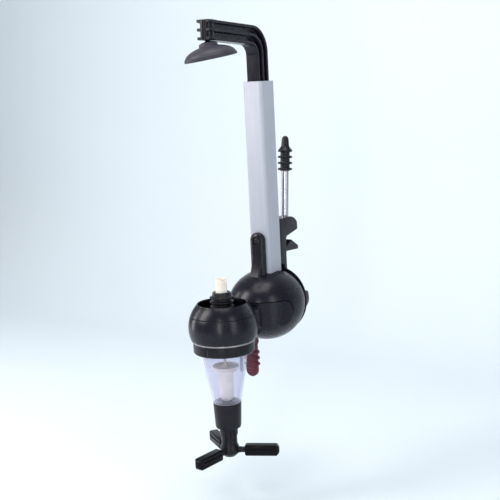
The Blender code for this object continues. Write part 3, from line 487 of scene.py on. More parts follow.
# ---------------------------------------------------------------- column and arm
def make_column():
    """A rounded square tube with softened ends."""
    def ring(half, z):
        return [(u, v, z) for u, v in rounded_rectangle(half, half, COLUMN_CORNER - (COLUMN_HALF - half),
                                                        at=(0.0, COLUMN_Y))]
    edge, part = 0.3, 0.09
    outer, inner = COLUMN_HALF, COLUMN_HALF - COLUMN_WALL
    low, high = COLUMN_BOTTOM, COLUMN_TOP
    rings = [ring(outer - edge, low), ring(outer - part, low + part), ring(outer, low + edge),
             ring(outer, high - edge), ring(outer - part, high - part), ring(outer - edge, high),
             ring(inner + edge, high), ring(inner, high - edge), ring(inner, low + edge),
             ring(inner + edge, low)]
    column = loft("column_profile", rings, ALUMINIUM, closed=True)
    piece(column, "stand", "satin_aluminium", "column_tube")


def arm_top(y):
    return ARM_TOP - (y - HEAD_Y) * tan(radians(ARM_LIFT))


def arm_line(depth, count=28):
    """The arm's bent line at a depth inside its outer edge, from the foot to the tip, (Y, Z)."""
    lift = radians(ARM_LIFT)
    rear, bend = COLUMN_Y + ARM_DEPTH / 2 - depth, ARM_BEND - 0.8 * depth
    centre = (rear - bend, arm_top(rear - bend) - (depth + bend) / cos(lift))
    turn = arc(centre, bend, 0, 90 - ARM_LIFT, count)
    return [(rear, ARM_FOOT)] + turn + [(ARM_TIP_Y, arm_top(ARM_TIP_Y) - depth / cos(lift))]


def make_arm():
    """A three-flanged moulding with a thin web, a bored sleeve and a bead at its tip."""
    wide, web = ARM_HALF, ARM_WEB_HALF
    half = []
    for start in ARM_LEVELS:
        if start:
            half.append((start, web))
        half += [(start, wide), (start + ARM_FLANGE, wide)]
        if start < ARM_LEVELS[-1]:
            half.append((start + ARM_FLANGE, web))
    section = fillet(half + [(d, -x) for d, x in half[::-1]], 0.75)
    lines = [arm_line(depth) for depth, _ in section]
    rings = [[(x, lines[k][i][0], lines[k][i][1]) for k, (_, x) in enumerate(section)]
             for i in range(len(lines[0]))]
    arm = loft("arm_moulding", rings, GLOSS_BLACK)
    changes = []
    for label, radius, y in (("sleeve", SLEEVE_RADIUS, HEAD_Y), ("bead", BEAD_RADIUS, ARM_TIP_Y + 2.1)):
        top = arm_top(y)
        low, top = top - ARM_DEPTH + 0.3, top - 0.3
        profile = [(0, top), (radius, top), (radius, low), (0, low)]
        changes.append(("+", turned(label, profile, at=(0, y, 0), closed=False, edge=0.5, segments=63)))
    for i, depth in enumerate(ARM_LEVELS):
        outline = rounded_rectangle(ARM_HALF + 0.75, 5.2, 1.6, at=(0.0, 1.2))
        top = ARM_TOP - depth + (0.05 if i == 0 else 0.25)
        low = top - ARM_FLANGE - (0.25 if i < 2 else 0.05)
        pad = slab("pad_%d" % i, outline, low, top, Matrix.Identity(4), low_edge=0.6, high_edge=0.6)
        pad.data.transform(Matrix.Translation((0, HEAD_Y * MM, ARM_TOP * MM))
                           @ Matrix.Rotation(-radians(ARM_LIFT), 4, "X")
                           @ Matrix.Translation((0, 0, -ARM_TOP * MM)))
        changes.append(("+", pad))
    changes.append(("-", bar("bore", STUD_RADIUS + GAP, (0, HEAD_Y, 230), (0, HEAD_Y, 270))))
    changes.append(("-", bar("recess", RECESS_RADIUS, (0, HEAD_Y, ARM_TOP - 2.4), (0, HEAD_Y, 270))))
    piece(shape(arm, *changes), "arm", "gloss_black_plastic", "top_arm")
    spring = coil("arm_coil", COLUMN_Y, *ARM_COIL, STEEL)
    piece(spring, "arm", "steel", "arm_spring")


def make_cup():
    """The rubber cup on its ball stud, leaning across the camera's view."""
    lean_axis = Vector((sin(radians(VIEW_TURN)), -cos(radians(VIEW_TURN)), 0.0))
    place = Matrix.Rotation(radians(CUP_LEAN), 4, lean_axis)
    mouth = degrees(asin(1.6 / SOCKET_RADIUS))
    socket = arc((0.0, 0.0), SOCKET_RADIUS, -90, mouth, 12)
    collar = [(4.2, 1.6), (6.6, 0.9), (7.5, 0.3), (7.9, -1.0), (8.0, -1.9)]
    dish = arc((0.0, CUP_RIM), (CUP_RADIUS - 0.5, CUP_HEIGHT), 66, 8, 20)
    lip = [(CUP_RADIUS, CUP_RIM + 0.9), (CUP_RADIUS, CUP_RIM - 1.2), (CUP_RADIUS - 1.5, CUP_RIM - 1.2)]
    inner = arc((0.0, CUP_RIM - 1.2), (CUP_RADIUS - 1.9, CUP_HEIGHT - 2.6), 6, 90, 20)
    cup = turned("cup_rubber", socket + collar + dish + lip + inner, CUP_RUBBER, at=(0, HEAD_Y, PIVOT_Z),
                 closed=False, edge=0.5, segments=128, turn=place)
    piece(cup, "cup", "grey_black_rubber", "bottle_cup")
    top = ARM_TOP - 0.5 - PIVOT_Z
    groove = top - 0.7
    ball = arc((0.0, 0.0), 3.2, -90, 54, 16)[::-1]
    shank = [(0.0, top), (STUD_RADIUS, top), (STUD_RADIUS, groove), (2.2, groove), (2.2, groove - 0.9),
             (STUD_RADIUS, groove - 0.9), (STUD_RADIUS, 3.4)]
    stud = turned("cup_ball_stud", shank + ball, BLACK_STEEL, at=(0, HEAD_Y, PIVOT_Z), closed=False, edge=0.2,
                  segments=48)
    piece(stud, "cup_swivel", "blackened_steel", "cup_stud")


# ---------------------------------------------------------------- globe
def fork_profile(grow):
    """Side outline (Y, Z) of the fork that grips the globe."""
    half = (FORK_TOP - FORK_BOTTOM) / 2
    front = COLUMN_Y - 50
    centre = (COLUMN_Y + FORK_END - half, (FORK_TOP + FORK_BOTTOM) / 2)
    end = arc(centre, half + grow, -90, 90, 40)
    return [(front, centre[1] - half - grow)] + end + [(front, centre[1] + half + grow)]


def globe_plan(depth, count=120):
    """Plan outline of the globe at the fork's top, set in by depth."""
    scale = sqrt(1 - ((FORK_TOP - GLOBE_Z) / GLOBE_UP) ** 2)
    outline = []
    for i in range(count):
        turn = 2 * pi * (i + 0.5) / count
        deep = GLOBE_NOSE if sin(turn) < 0 else GLOBE_REAR
        outline.append(((GLOBE_SIDE * scale - depth) * cos(turn),
                        COLUMN_Y + (deep * scale - depth) * sin(turn)))
    return outline


def box(name, x0, y0, z0, x1, y1, z1):
    return slab(name, rectangle(x0, y0, x1, y1), z0, z1, PLAN)


def passage(name):
    """The square way for the column."""
    outline = rounded_rectangle(PASSAGE, PASSAGE, COLUMN_CORNER + GAP, at=(0.0, COLUMN_Y))
    return slab(name, outline, 0.0, 120.0, PLAN)


def make_front_casing():
    """The globe's front shell with its tongue up the column, the lever's lug and the fork's pocket."""
    casing = ellipsoid("casing_front", 0.0, material=GLOSS_BLACK)
    shoulder = TONGUE_TOP - TONGUE_HALF
    outline = [(-TONGUE_HALF, 30.0), (TONGUE_HALF, 30.0)] + arc((0, shoulder), TONGUE_HALF, 0, 180, 32)
    back = GAP - FRONT_FACE
    tongue = slab("tongue", outline, back, back + TONGUE_THICK, FRONT, high_edge=2.5, low_edge=0.3, steps=10,
                  crown=5.4)
    front = FRONT_FACE - TONGUE_THICK
    foot_line = [(FRONT_FACE - 1.5, 26.0), (front - 5.0, 26.0), (front - 5.0, 32.5), (front + 0.6, 50.0),
                 (FRONT_FACE - 1.5, 50.0)]
    foot = slab("foot", foot_line, 1.9 - TONGUE_HALF, TONGUE_HALF - 1.9, SIDE, low_edge=1.2, high_edge=1.2)
    lug_line = [(LEVER_Y + 8, -6.0), (LEVER_Y - LUG_RADIUS, -6.0)]
    lug_line += arc((LEVER_Y, LEVER_Z), LUG_RADIUS, 180, 360, 28)
    lug = slab("lug", lug_line, -0.1, 2.3, SIDE, low_edge=0.3, high_edge=0.3)
    pocket = slab("pocket", fork_profile(2 * GAP), -60.0, 60.0, SIDE)
    shape(pocket, ("-", slab("pocket_core", globe_plan(FORK_WALL + GAP), -30.0, 30.0, PLAN)))
    far, floor = (0, FRONT_FACE - 20, SCREW_Z), (0, FRONT_FACE - 3.5, SCREW_Z)
    shape(casing,
          ("+", tongue),
          ("+", foot),
          ("+", lug),
          ("-", ellipsoid("hollow", GLOBE_WALL, across=96, down=48)),
          ("-", box("rear_space", -60, COLUMN_Y + SEAM_Y, -60, 60, 60, 120)),
          ("-", passage("passage")),
          ("-", pocket),
          ("-", bar("hole", 1.8, far, (0, COLUMN_Y, SCREW_Z))),
          ("-", bar("recess", 3.4, far, floor)))
    piece(casing, "stand", "gloss_black_plastic", "front_casing")


def hook_profile():
    """Side outline (Y, Z) of the rear spine with its hood, notch and hook tooth."""
    y = COLUMN_Y
    crown = (y + 28.0, 69.0)
    hood = arc(crown, (y + HOOD_REAR - crown[0], HOOD_TOP - crown[1]), 90, 12, 22)
    hood += arc((y + 40.6, 71.0), 2.6, 0, -78, 8)
    notch = arc((y + 24.6, 62.2), 2.6, 90, 180, 12)
    tooth = [(y + SPINE_REAR, 55.0), (y + 30.4, 60.2)] + arc((y + TOOTH_REAR - 0.85, 50.35), 0.8, 56, -92, 8)
    tooth.append((y + SPINE_REAR, 50.6))
    foot = [(y + SPINE_REAR, 25.0), (y + 17.1, 25.0), (y + 17.1, 38.6), (y + PASSAGE, 40.9)]
    return fillet([(y + PASSAGE, HOOD_TOP)] + hood + fillet(notch + tooth, 0.6, closed=False) + foot, 1.0)


def pourer_point(along):
    """A point on the axis of the pourer's socket."""
    lean = radians(POURER_LEAN)
    return 0.0, POURER_Y + along * sin(lean), POURER_Z + along * cos(lean)


def make_seam_lip():
    """A round bead along the rear shell's front edge."""
    start = SEAM_Y + GAP + LIP_RADIUS
    side = GLOBE_SIDE + REAR_PROUD
    scale = sqrt(1 - (start / (GLOBE_REAR + REAR_PROUD)) ** 2)
    rings = []
    for i in range(LIP_COUNT):
        turn = 2 * pi * (i + 0.37) / LIP_COUNT
        up = (REAR_UP if sin(turn) > 0 else GLOBE_DOWN) + REAR_PROUD
        around = Vector((side * scale * cos(turn), up * scale * sin(turn)))
        out = Vector((cos(turn) / side, sin(turn) / up)).normalized()
        ring = []
        for k in range(LIP_SIDES):
            swing = 2 * pi * (k + 0.5) / LIP_SIDES
            spot = around + out * (LIP_RADIUS * cos(swing) - LIP_SINK)
            ring.append((spot.x, COLUMN_Y + start + LIP_RADIUS * sin(swing), GLOBE_Z + spot.y))
        rings.append(ring)
    return loft("seam_lip", rings, closed=True)


def make_rear_casing():
    """The rear shell with the wall boss, the hooked spine, the screw posts and the pourer's socket."""
    y = COLUMN_Y
    casing = ellipsoid("casing_rear", -REAR_PROUD, REAR_UP, GLOSS_BLACK)
    boss_line = arc((0.0, BOSS_Z), BOSS_RADIUS, 0, -180, 48)
    boss_line += [(-14.4, 7.4), (-13.0, 8.6), (13.0, 8.6), (14.4, 7.4)]
    boss = slab("boss", boss_line, 0.0, BOSS_DEPTH, FRONT, low_edge=1.2)
    spine = slab("spine", hook_profile(), -SPINE_HALF, SPINE_HALF, SIDE, low_edge=0.35, high_edge=0.35)
    wide = SPINE_HALF + 1
    plan = [(wide, y), (wide, y + 30)] + arc((SPINE_HALF - 5, y + TOOTH_REAR - 5), 5, 0, 90, 16)
    plan = plan + [(-u, v) for u, v in plan[::-1]]
    shape(spine, ("&", slab("hood_plan", plan, 20.0, 100.0, PLAN)))
    changes = [("-", box("front_space", -60, -120, -60, 60, y + SEAM_Y + GAP, 60)), ("+", make_seam_lip()),
               ("+", boss), ("+", spine), ("-", ellipsoid("rear_hollow", GLOBE_WALL, across=96, down=48))]
    for side, sign in (("left", -1), ("right", 1)):
        x = sign * POST_X
        post = bar("post_" + side, POST_RADIUS, (x, y + POST_FRONT, POST_Z), (x, y + 36, POST_Z))
        shape(post, ("&", ellipsoid("post_end_" + side, -0.2, REAR_UP - 0.4, across=64, down=32)))
        far = (x, y + 45, POST_Z)
        changes += [("+", post), ("-", bar("hole_" + side, POST_BORE, (x, y + 15, POST_Z), far)),
                    ("-", bar("sink_" + side, SINK_RADIUS, (x, y + SINK_Y, POST_Z), far, segments=52))]
    changes.append(("-", bar("socket", POURER_RADIUS + GAP, pourer_point(-16.5), pourer_point(10.0))))
    piece(shape(casing, *changes), "stand", "gloss_black_plastic", "rear_casing")


def make_carrier():
    """The ring round the head and the fork that grips the globe."""
    outer = sphere_arc(BALL_R, BALL_Z, BAND_TOP, BAND_BOTTOM, 20)
    bore = BALL_R - 4.9
    ring = turned("carrier_moulding", outer + [(bore, BAND_BOTTOM), (bore, BAND_TOP)], GLOSS_BLACK,
                  at=(0, HEAD_Y, 0), edge=0.5, segments=128)
    neck = rectangle(-NECK_HALF, HEAD_Y + 23, NECK_HALF, COLUMN_Y - 28)
    bridge = slab("neck", neck, FORK_BOTTOM + 0.3, BAND_TOP - 0.3, PLAN)
    fork = slab("fork", globe_plan(-0.25), FORK_BOTTOM - 1, FORK_TOP + 1, PLAN)
    side = slab("fork_side", fork_profile(-0.1), -60.0, 60.0, SIDE)
    shape(fork, ("&", side))
    shape(bridge, ("+", fork), ("-", slab("fork_core", globe_plan(FORK_WALL), -40.0, 40.0, PLAN)),
          ("-", bar("head_bore", bore + 1.6, (0, HEAD_Y, -40), (0, HEAD_Y, 40), segments=90)))
    piece(shape(ring, ("+", bridge)), "stand", "gloss_black_plastic", "carrier_yoke")


# ---------------------------------------------------------------- measuring head
def make_head():
    """The dome, the silver ring, the lower collar, and the bottle's seat, tube, stopper and vent."""
    head = (0, HEAD_Y, 0)
    within = BALL_R - 2.1
    bottom = BAND_TOP + GAP
    inner_top = BALL_Z + sqrt(within ** 2 - MOUTH_RADIUS ** 2)
    dome = [(MOUTH_RADIUS + 0.7, DOME_TOP)] + sphere_arc(BALL_R, BALL_Z, DOME_TOP - 0.5, bottom, 14)
    dome += sphere_arc(within, BALL_Z, inner_top, bottom, 8)[::-1] + [(MOUTH_RADIUS, DOME_TOP - 0.4)]
    shell = turned("dome_shell", dome, GLOSS_BLACK, head, edge=0.35, segments=128)
    piece(shell, "stand", "gloss_black_plastic", "head_dome")
    trim = [(27.0, -10.9), (27.4, -11.4), (27.4, -12.1), (27.0, -12.6), (24.7, -12.6), (24.7, -10.9)]
    piece(turned("trim_band", trim, TRIM, head, edge=0.15, segments=128), "stand", "silver_trim", "trim_ring")
    profile = [(26.8, -12.9), (26.8, -21.0), (25.9, -22.0), (20.7, -22.0), (20.7, -20.2), (24.6, -20.2),
               (24.6, -12.9)]
    collar = turned("collar_moulding", profile, SATIN_BLACK, head, edge=0.4, segments=144)
    changes = []
    for i in range(SCALLOPS):
        turn = radians(360 / SCALLOPS * (i + 0.5))
        x, y = SCALLOP_PLACE * cos(turn), HEAD_Y + SCALLOP_PLACE * sin(turn)
        changes.append(("-", bar("scallop_%d" % i, SCALLOP_RADIUS, (x, y, SCALLOP_TOP), (x, y, -30),
                                 segments=40)))
    piece(shape(collar, *changes), "stand", "satin_black_plastic", "lower_collar")
    x, y = VENT_PLACE * cos(radians(VIEW_TURN)), HEAD_Y + VENT_PLACE * sin(radians(VIEW_TURN))
    bore = TUBE_RADIUS + GAP
    profile = [(25.0, SEAT_TOP), (25.0, BAND_BOTTOM), (24.3, BAND_BOTTOM), (24.3, -15.3), (22.0, -15.3),
               (22.0, 0.0), (9.0, 0.0), (9.0, -7.0), (bore, -7.0), (bore, SEAT_TOP)]
    seat = turned("seat_moulding", profile, SATIN_BLACK, head, edge=0.3)
    shape(seat, ("-", bar("vent_hole", 1.8, (x, y, -3), (x, y, 6))))
    piece(seat, "stand", "satin_black_plastic", "bottle_seat")
    profile = [(TUBE_RADIUS, TUBE_TOP), (TUBE_RADIUS, TUBE_BOTTOM), (TUBE_BORE, TUBE_BOTTOM),
               (TUBE_BORE, TUBE_TOP)]
    tube = turned("inlet_pipe", profile, CREAM, head, edge=0.3, segments=72)
    slant = [(8.0, TUBE_TOP + 2), (1.0, TUBE_TOP + 2), (8.0, TUBE_TOP - 8.5)]
    aim = Matrix.Translation((0, HEAD_Y, 0)) @ FRONT
    piece(shape(tube, ("-", slab("slant", slant, -8.0, 8.0, aim))), "stand", "cream_plastic", "inlet_tube")
    ribs = []
    for i in range(RIBS):
        z = STOPPER_TOP - 3.2 - RIB_PITCH * i
        ribs += [(STOPPER_RADIUS, z + 0.1), (RIB_RADIUS - 0.4, z - 0.7), (RIB_RADIUS, z - 1.0),
                 (RIB_RADIUS, z - 1.6), (STOPPER_RADIUS, z - 1.8)]
    line = [(7.7, STOPPER_TOP), (8.0, STOPPER_TOP - 1.5)] + ribs + [(9.0, 4.4), (9.0, SEAT_TOP + GAP)]
    line += [(bore, SEAT_TOP + GAP), (bore, STOPPER_TOP)]
    stopper = turned("ribbed_stopper", line, DARK_RUBBER, head, edge=0.35)
    piece(stopper, "stand", "black_rubber", "bottle_stopper")
    top = SEAT_TOP + 3
    profile = [(VENT_RADIUS, top), (VENT_RADIUS, VENT_BOTTOM), (VENT_BORE, VENT_BOTTOM), (VENT_BORE, top)]
    vent = turned("vent_pipe", profile, SMOKE, (x, y, 0), edge=0.1, segments=40)
    piece(vent, "stand", "grey_translucent_plastic", "vent_tube")


def make_chamber():
    """The clear measure with its seals, nozzle sleeve and cream piston."""
    head = (0, HEAD_Y, 0)
    outer = [(24.3, -17.6), (24.3, -19.9), (20.3, -19.9), (20.1, -22), (17.6, -40), (14.5, -56),
             (12.4, -67.9), (10.2, -67.9), (10.2, -73.0)]
    inner = [(8.6, -73.0), (8.6, -68.5), (10.5, -68.5), (10.5, -66.5), (13.0, -56), (16.1, -40), (18.7, -22),
             (18.7, -17.6)]
    cone = turned("clear_chamber", outer + inner, CLEAR, head, edge=0.35, segments=128)
    piece(cone, "stand", "clear_plastic", "measuring_chamber")
    seal = [(23.0 + u, -16.45 + v) for u, v in arc((0, 0), 0.95, 90, -258, 15)]
    seal = turned("chamber_ring_seal", seal, DARK_RUBBER, head, edge=0)
    piece(seal, "stand", "black_rubber", "chamber_seal")
    seat = [(10.2, -66.8), (10.2, -68.2), (4.2, -68.2), (4.2, -67.4), (4.8, -66.8)]
    seat = turned("outlet_washer", seat, DARK_RUBBER, head, edge=0.2)
    piece(seat, "stand", "black_rubber", "outlet_seat")
    sleeve = [(12.4, -68.2), (11.4, -89.0), (10.9, -90.6), (9.4, -91.5), (8.4, -91.5), (8.4, -75.6),
              (10.5, -75.6), (10.5, -68.2)]
    piece(turned("nozzle_moulding", sleeve, SATIN_BLACK, head, edge=0.35, segments=112), "stand",
          "satin_black_plastic", "nozzle_sleeve")
    ball = arc((0.0, CHAMBER_BALL_Z), CHAMBER_BALL_R, 0, -68, 14)
    piston = [(0, -18.0), (1.3, -18.0), (1.3, -34.0), (2.0, -34.8), (3.2, -35.2), (3.2, -36.3), (8.0, -36.3),
              (8.3, -35.6), (9.3, -35.6), (9.6, -36.3), (10.3, -36.3), (10.9, -35.1), (11.9, -35.4),
              (11.9, -37.0), (8.6, -37.3), (8.6, -38.3), (9.6, -38.6), (9.6, -40.2), (7.2, -40.6),
              (CHAMBER_BALL_R, -41.6)]
    piston += ball + [(2.3, -67.34), (2.3, -55.7), (0, -55.7)]
    piece(turned("piston_moulding", piston, CREAM, head, closed=False, edge=0.3, segments=80), "valve",
          "cream_plastic", "float_piston")
    seal = [(0, -16.3), (4.8, -16.3), (4.8, -17.7), (0, -17.7)]
    piece(turned("inlet_washer", seal, DARK_RUBBER, head, closed=False, edge=0.3, segments=60), "valve",
          "black_rubber", "inlet_seal")


# ---------------------------------------------------------------- push spider
def make_spider():
    """The hub with its three spokes and grips, and the spring above it."""
    head = (0, HEAD_Y, 0)
    hub = [(0, -104.0), (2.3, -104.0), (2.3, -88.0), (8.0, -88.0), (8.0, -96.5), (7.0, -100.0), (7.0, -106.0),
           (8.2, -108.4), (8.2, -114.4), (5.2, -117.4), (0, -118.6)]
    spider = turned("spider_moulding", hub, SATIN_BLACK, head, closed=False, edge=0.8, segments=96)
    changes = []
    for i, angle in enumerate(SPIDER_TURNS):
        turn = Matrix.Translation((0, HEAD_Y, ARM_Z)) @ Matrix.Rotation(radians(angle), 4, "Z")
        rings = []
        for r, w, h in ((4.0, 2.0, 2.6), (8.8, 2.0, 2.5), (11.0, 1.9, 2.2), (REACH - 2.3, 1.9, 2.2)):
            outline = rounded_rectangle(w, h, 0.7, 5)
            rings.append([turn @ Vector((r, u, v)) for u, v in outline])
        changes.append(("+", loft("spoke_%d" % i, rings)))
        between = radians(angle + 60)
        x, y = FLUTE_PLACE * cos(between), HEAD_Y + FLUTE_PLACE * sin(between)
        changes.append(("-", bar("flute_%d" % i, FLUTE_RADIUS, (x, y, -80), (x, y, -106), segments=32)))
        make_grip("grip_sleeve_%d" % (i + 1), turn, "finger_grip_%d" % (i + 1))
    piece(shape(spider, *changes), "valve", "satin_black_plastic", "push_spider")
    spring = coil("valve_coil", HEAD_Y, *VALVE_COIL, STEEL)
    piece(spring, "stand", "steel", "valve_spring")
    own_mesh(spring)


def make_grip(name, turn, node):
    """A finger sleeve with chamfered ends and a groove along each side."""
    start = GRIP_START
    stations = ((start, 1.0), (start + 0.35, 0.45), (start + 1.0, 0.1), (start + 1.6, 0.0),
                (REACH - 2.6, 0.0), (REACH - 2.0, 0.25), (REACH - 0.5, 1.7), (REACH - 0.12, 2.3),
                (REACH, 2.9))
    rings = []
    for r, less in stations:
        w, h = GRIP_HALF_W - less, GRIP_HALF_H - less
        rings.append([turn @ Vector((r, u, v)) for u, v in rounded_rectangle(w, h, min(1.3, w * 0.55), 8)])
    grip = loft(name, rings, GRIP_RUBBER)
    changes = []
    for label, sign in (("a", -1), ("b", 1)):
        low, high = sorted((sign * (GRIP_HALF_W + 1), sign * (GRIP_HALF_W - 0.9)))
        groove = rounded_rectangle((REACH - GRIP_START - 7) / 2, 0.75, 0.7, 6,
                                   at=((REACH + GRIP_START) / 2, 1.2))
        changes.append(("-", slab("groove_" + label, groove, low, high, turn @ FRONT)))
    pocket = rectangle(0, -2.5, REACH - 2.0, 2.5)
    changes.append(("-", slab("pocket", pocket, -2.2, 2.2, turn @ FRONT)))
    piece(shape(grip, *changes), "valve", "black_rubber", node)


# ---------------------------------------------------------------- lever
def make_lever():
    """The ribbed red lever on its pin, with a small torsion spring."""
    frame_matrix = Matrix.Translation((0, LEVER_Y, 0)) @ FRONT
    core, top, bottom = LEVER_HALF - 1.2, LEVER_TOP, LEVER_BOTTOM
    outline = arc((0, bottom + core), core, 180, 360, 32) + [(core, top - 2)] \
        + [(core - 2, top), (-core + 2, top), (-core, top - 2)]
    lever = slab("lever_moulding", fillet(outline, 0.8), -LEVER_CORE, LEVER_CORE, frame_matrix, RED, 0.7, 0.7)
    changes = []
    for i in range(LEVER_RIBS):
        z = LEVER_FIRST_RIB - LEVER_PITCH * i
        width = LEVER_HALF if i < LEVER_RIBS - 1 else LEVER_HALF - 1.6
        rib = rounded_rectangle(width, 1.7, 1.3, 6, at=(0.0, z))
        changes.append(("+", slab("rib_%d" % i, rib, -2.7, 2.7, frame_matrix, low_edge=0.9, high_edge=0.9)))
    eye = arc((LEVER_Y, LEVER_Z), EYE_RADIUS, 0, 360, 40)[:-1]
    changes.append(("+", slab("eye", eye, -core, core, SIDE, low_edge=0.4, high_edge=0.4)))
    slot = rectangle(-2.6, LEVER_Z - 4.4, 2.6, top + 3)
    changes.append(("-", slab("slot", slot, -10.0, 10.0, frame_matrix)))
    changes.append(("-", bar("eye_hole", EYE_BORE, (-9, LEVER_Y, LEVER_Z), (9, LEVER_Y, LEVER_Z))))
    piece(shape(lever, *changes), "lever", "dark_red_plastic", "release_lever")
    ends = [(x, LEVER_Y, LEVER_Z) for x in (-core, core)]
    pin = bar("lever_axle", AXLE_RADIUS, *ends, BLACK_STEEL, 32, 0.2)
    piece(pin, "stand", "blackened_steel", "lever_pin")
    path = []
    for i in range(2 * LEVER_COIL_STEPS + 1):
        turn = 2 * pi * i / LEVER_COIL_STEPS
        path.append((-0.75 - 0.75 * i / LEVER_COIL_STEPS, LEVER_Y + LEVER_COIL_RADIUS * cos(turn),
                     LEVER_Z + LEVER_COIL_RADIUS * sin(turn)))
    piece(pipe("lever_coil", path, 0.3, STEEL, 10), "stand", "steel", "lever_spring")


# ---------------------------------------------------------------- pourer and screws
def make_pourer():
    """The chromed tube in its socket, with a ribbed rubber grip."""
    turn = Matrix.Rotation(-radians(POURER_LEAN), 4, "X")
    at = (0, POURER_Y, POURER_Z)
    wall = [(POURER_RADIUS, POURER_TOP), (POURER_RADIUS, POURER_BOTTOM), (POURER_BORE, POURER_BOTTOM),
            (POURER_BORE, POURER_TOP)]
    piece(turned("pourer_pipe", wall, CHROME, at, edge=0.2, segments=72, turn=turn), "pourer", "chrome",
          "pourer_tube")
    profile = [(0, 71.8), (1.0, 71.65), (1.8, 71.2), (2.6, 70.3), (3.1, 69.2), (3.45, 66.5), (3.6, 63.2)]
    for i in range(POURER_RIBS):
        z = 58.6 - POURER_RIB_PITCH * i
        flare = 2.6 if i == 0 else 0.5
        profile += [(4.4, z + flare), (6.3, z + 0.25), (6.7, z - 0.3), (6.7, z - 1.3), (6.3, z - 1.7),
                    (4.4, z - 2.0)]
    profile += [(4.4, 39.2), (POURER_RADIUS + GAP, 39.2), (POURER_RADIUS + GAP, 50.4), (0, 50.4)]
    grip = turned("pourer_stopper", profile, DARK_RUBBER, at, closed=False, edge=0.35, segments=80, turn=turn)
    piece(grip, "pourer", "black_rubber", "pourer_grip")


def make_screw(name, head_top, direction, head, length, material, node):
    """A pan-head screw with a cross recess."""
    turn = (-Vector(direction)).to_track_quat("Z", "Y").to_matrix().to_4x4()
    crown = [(0, 0), (head * 0.5, -0.06), (head * 0.78, -0.25), (head * 0.95, -0.6), (head, -1.0)]
    profile = crown + [(head, -1.7), (1.5, -1.7), (1.5, -length + 0.8), (0.6, -length), (0, -length)]
    screw = turned(name, profile, material, head_top, closed=False, edge=0.12, segments=48, turn=turn)
    place = Matrix.Translation(Vector(head_top)) @ turn
    changes = [("-", slab("slot_%d" % i, rectangle(*size), -1.1, 1.0, place))
               for i, size in enumerate(((-1.75, -0.3, 1.75, 0.3), (-0.31, -1.76, 0.31, 1.76)))]
    piece(shape(screw, *changes), "stand", "steel" if material is STEEL else "blackened_steel", node)


def make_screws():
    for side, sign in (("left", -1), ("right", 1)):
        make_screw("screw_" + side, (sign * POST_X, COLUMN_Y + 26.0, POST_Z), (0, -1, 0), 2.9, 17.0, STEEL,
                   "casing_screw_" + side)
    make_screw("screw_front", (0, FRONT_FACE - TONGUE_THICK, SCREW_Z), (0, 1, 0), 3.0, 8.0, BLACK_STEEL,
               "tongue_screw")


def finish_hidden_nodes():
    """CAD solids whose shape is already right keep it and get a full material."""
    looks = {"guide_pad_left": SATIN_BLACK, "guide_pad_right": SATIN_BLACK, "inner_chassis": SATIN_BLACK,
             "slide_shoe": SATIN_BLACK, "spring_pin": STEEL, "spring_plate": CREAM, "valve_spindle": STEEL,
             "stud_clip": STEEL}
    for name, material in looks.items():
        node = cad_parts[name]
        node.data.materials.clear()
        node.data.materials.append(material)


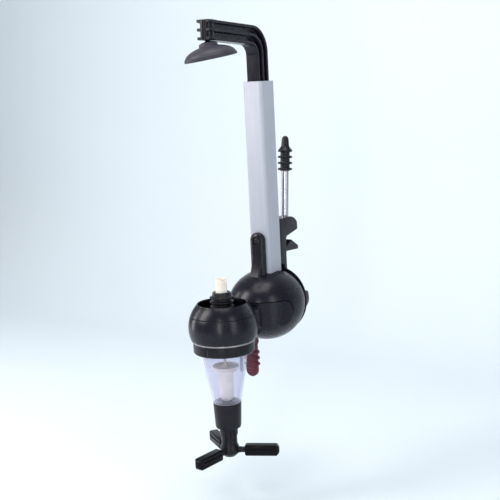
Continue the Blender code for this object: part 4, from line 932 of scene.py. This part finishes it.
# ---------------------------------------------------------------- studio
def make_studio():
    """A pale sweep that is clear from behind, a pale sky and five soft lamps."""
    floor_z, wall_y, bend = -165.0, 620.0, 300.0
    curve = [(-1500.0, floor_z)] + arc((wall_y - bend, floor_z + bend), bend, -90, 0, 16) + [(wall_y, 1500.0)]
    work = bmesh.new()
    half_width = 6000.0
    rows = [[work.verts.new(Vector((x, y, z)) * MM) for y, z in curve] for x in (-half_width, half_width)]
    for k in range(len(curve) - 1):
        work.faces.new((rows[0][k], rows[1][k], rows[1][k + 1], rows[0][k + 1]))
    look = Look("pale_backdrop", (0.72, 0.78, 0.82), 0.8)
    paper = look.finish(look.mottle(3.0, 0.985, 1.01), look.spread(look.noise(40.0), 0.72, 0.88),
                        look.noise(600.0), 0.05, 0.05)
    tree = paper.node_tree
    side = tree.nodes.new("ShaderNodeNewGeometry")
    clear = tree.nodes.new("ShaderNodeBsdfTransparent")
    choice = tree.nodes.new("ShaderNodeMixShader")
    tree.links.new(side.outputs["Backfacing"], choice.inputs[0])
    tree.links.new(tree.nodes["Principled BSDF"].outputs[0], choice.inputs[1])
    tree.links.new(clear.outputs[0], choice.inputs[2])
    tree.links.new(choice.outputs[0], tree.nodes["Material Output"].inputs["Surface"])
    backdrop = solid_from("backdrop", work, paper)
    if backdrop.data.polygons[0].normal.z < 0:
        backdrop.data.flip_normals()

    world = bpy.data.worlds.new("studio_air")
    bpy.context.scene.world = world
    world.use_nodes = True
    sky = world.node_tree.nodes["Background"]
    sky.inputs["Color"].default_value = (0.86, 0.93, 1.0, 1.0)
    sky.inputs["Strength"].default_value = 0.40

    target = Vector((0, -80, 70)) * MM
    for name, place, size, energy, colour in (
            ("key_softbox", (-620, -760, 620), (0.40, 0.7), 8.5, (1.0, 0.985, 0.97)),
            ("fill_softbox", (900, -420, 260), (0.22, 0.9), 2.8, (0.95, 0.97, 1.0)),
            ("top_softbox", (60, -200, 900), (0.6, 0.5), 4.5, (1.0, 1.0, 1.0)),
            ("front_strip", (420, -1050, 200), (0.10, 0.9), 3.2, (1.0, 1.0, 1.0)),
            ("left_strip", (-1000, -300, 150), (0.16, 0.9), 3.2, (0.98, 0.98, 1.0))):
        lamp = bpy.data.lights.new(name, "AREA")
        lamp.shape = "RECTANGLE"
        lamp.size, lamp.size_y = size
        lamp.energy = energy
        lamp.color = colour
        holder = bpy.data.objects.new(name, lamp)
        holder.location = Vector(place) * MM
        holder.rotation_euler = (target - holder.location).to_track_quat("-Z", "Y").to_euler()
        bpy.context.scene.collection.objects.link(holder)


def make_camera():
    """The photo's viewpoint, as solved from the part's outline in it."""
    turn, pitch, roll = radians(35), radians(9.74), radians(2.80)
    distance, shift, height = 900.0, 14.62, 209.97
    place = Vector((sin(turn) * distance - shift * cos(turn),
                    COLUMN_Y - cos(turn) * distance - shift * sin(turn), height)) * MM
    ahead = Vector((-sin(turn) * cos(pitch), cos(turn) * cos(pitch), -sin(pitch)))
    camera = bpy.data.cameras.new("camera")
    camera.lens, camera.sensor_width = 72.0, 36.0
    camera.clip_start, camera.clip_end = 0.05, 20.0
    holder = bpy.data.objects.new("camera", camera)
    bpy.context.scene.collection.objects.link(holder)
    aim = ahead.to_track_quat("-Z", "Y").to_matrix().to_4x4()
    holder.matrix_world = Matrix.Translation(place) @ aim @ Matrix.Rotation(-roll, 4, "Z")
    bpy.context.scene.camera = holder
    bpy.context.scene.view_settings.view_transform = "Standard"


make_camera()
make_studio()
make_column()
make_arm()
make_cup()
make_front_casing()
make_rear_casing()
make_carrier()
make_head()
make_chamber()
make_spider()
make_lever()
make_pourer()
make_screws()
finish_hidden_nodes()
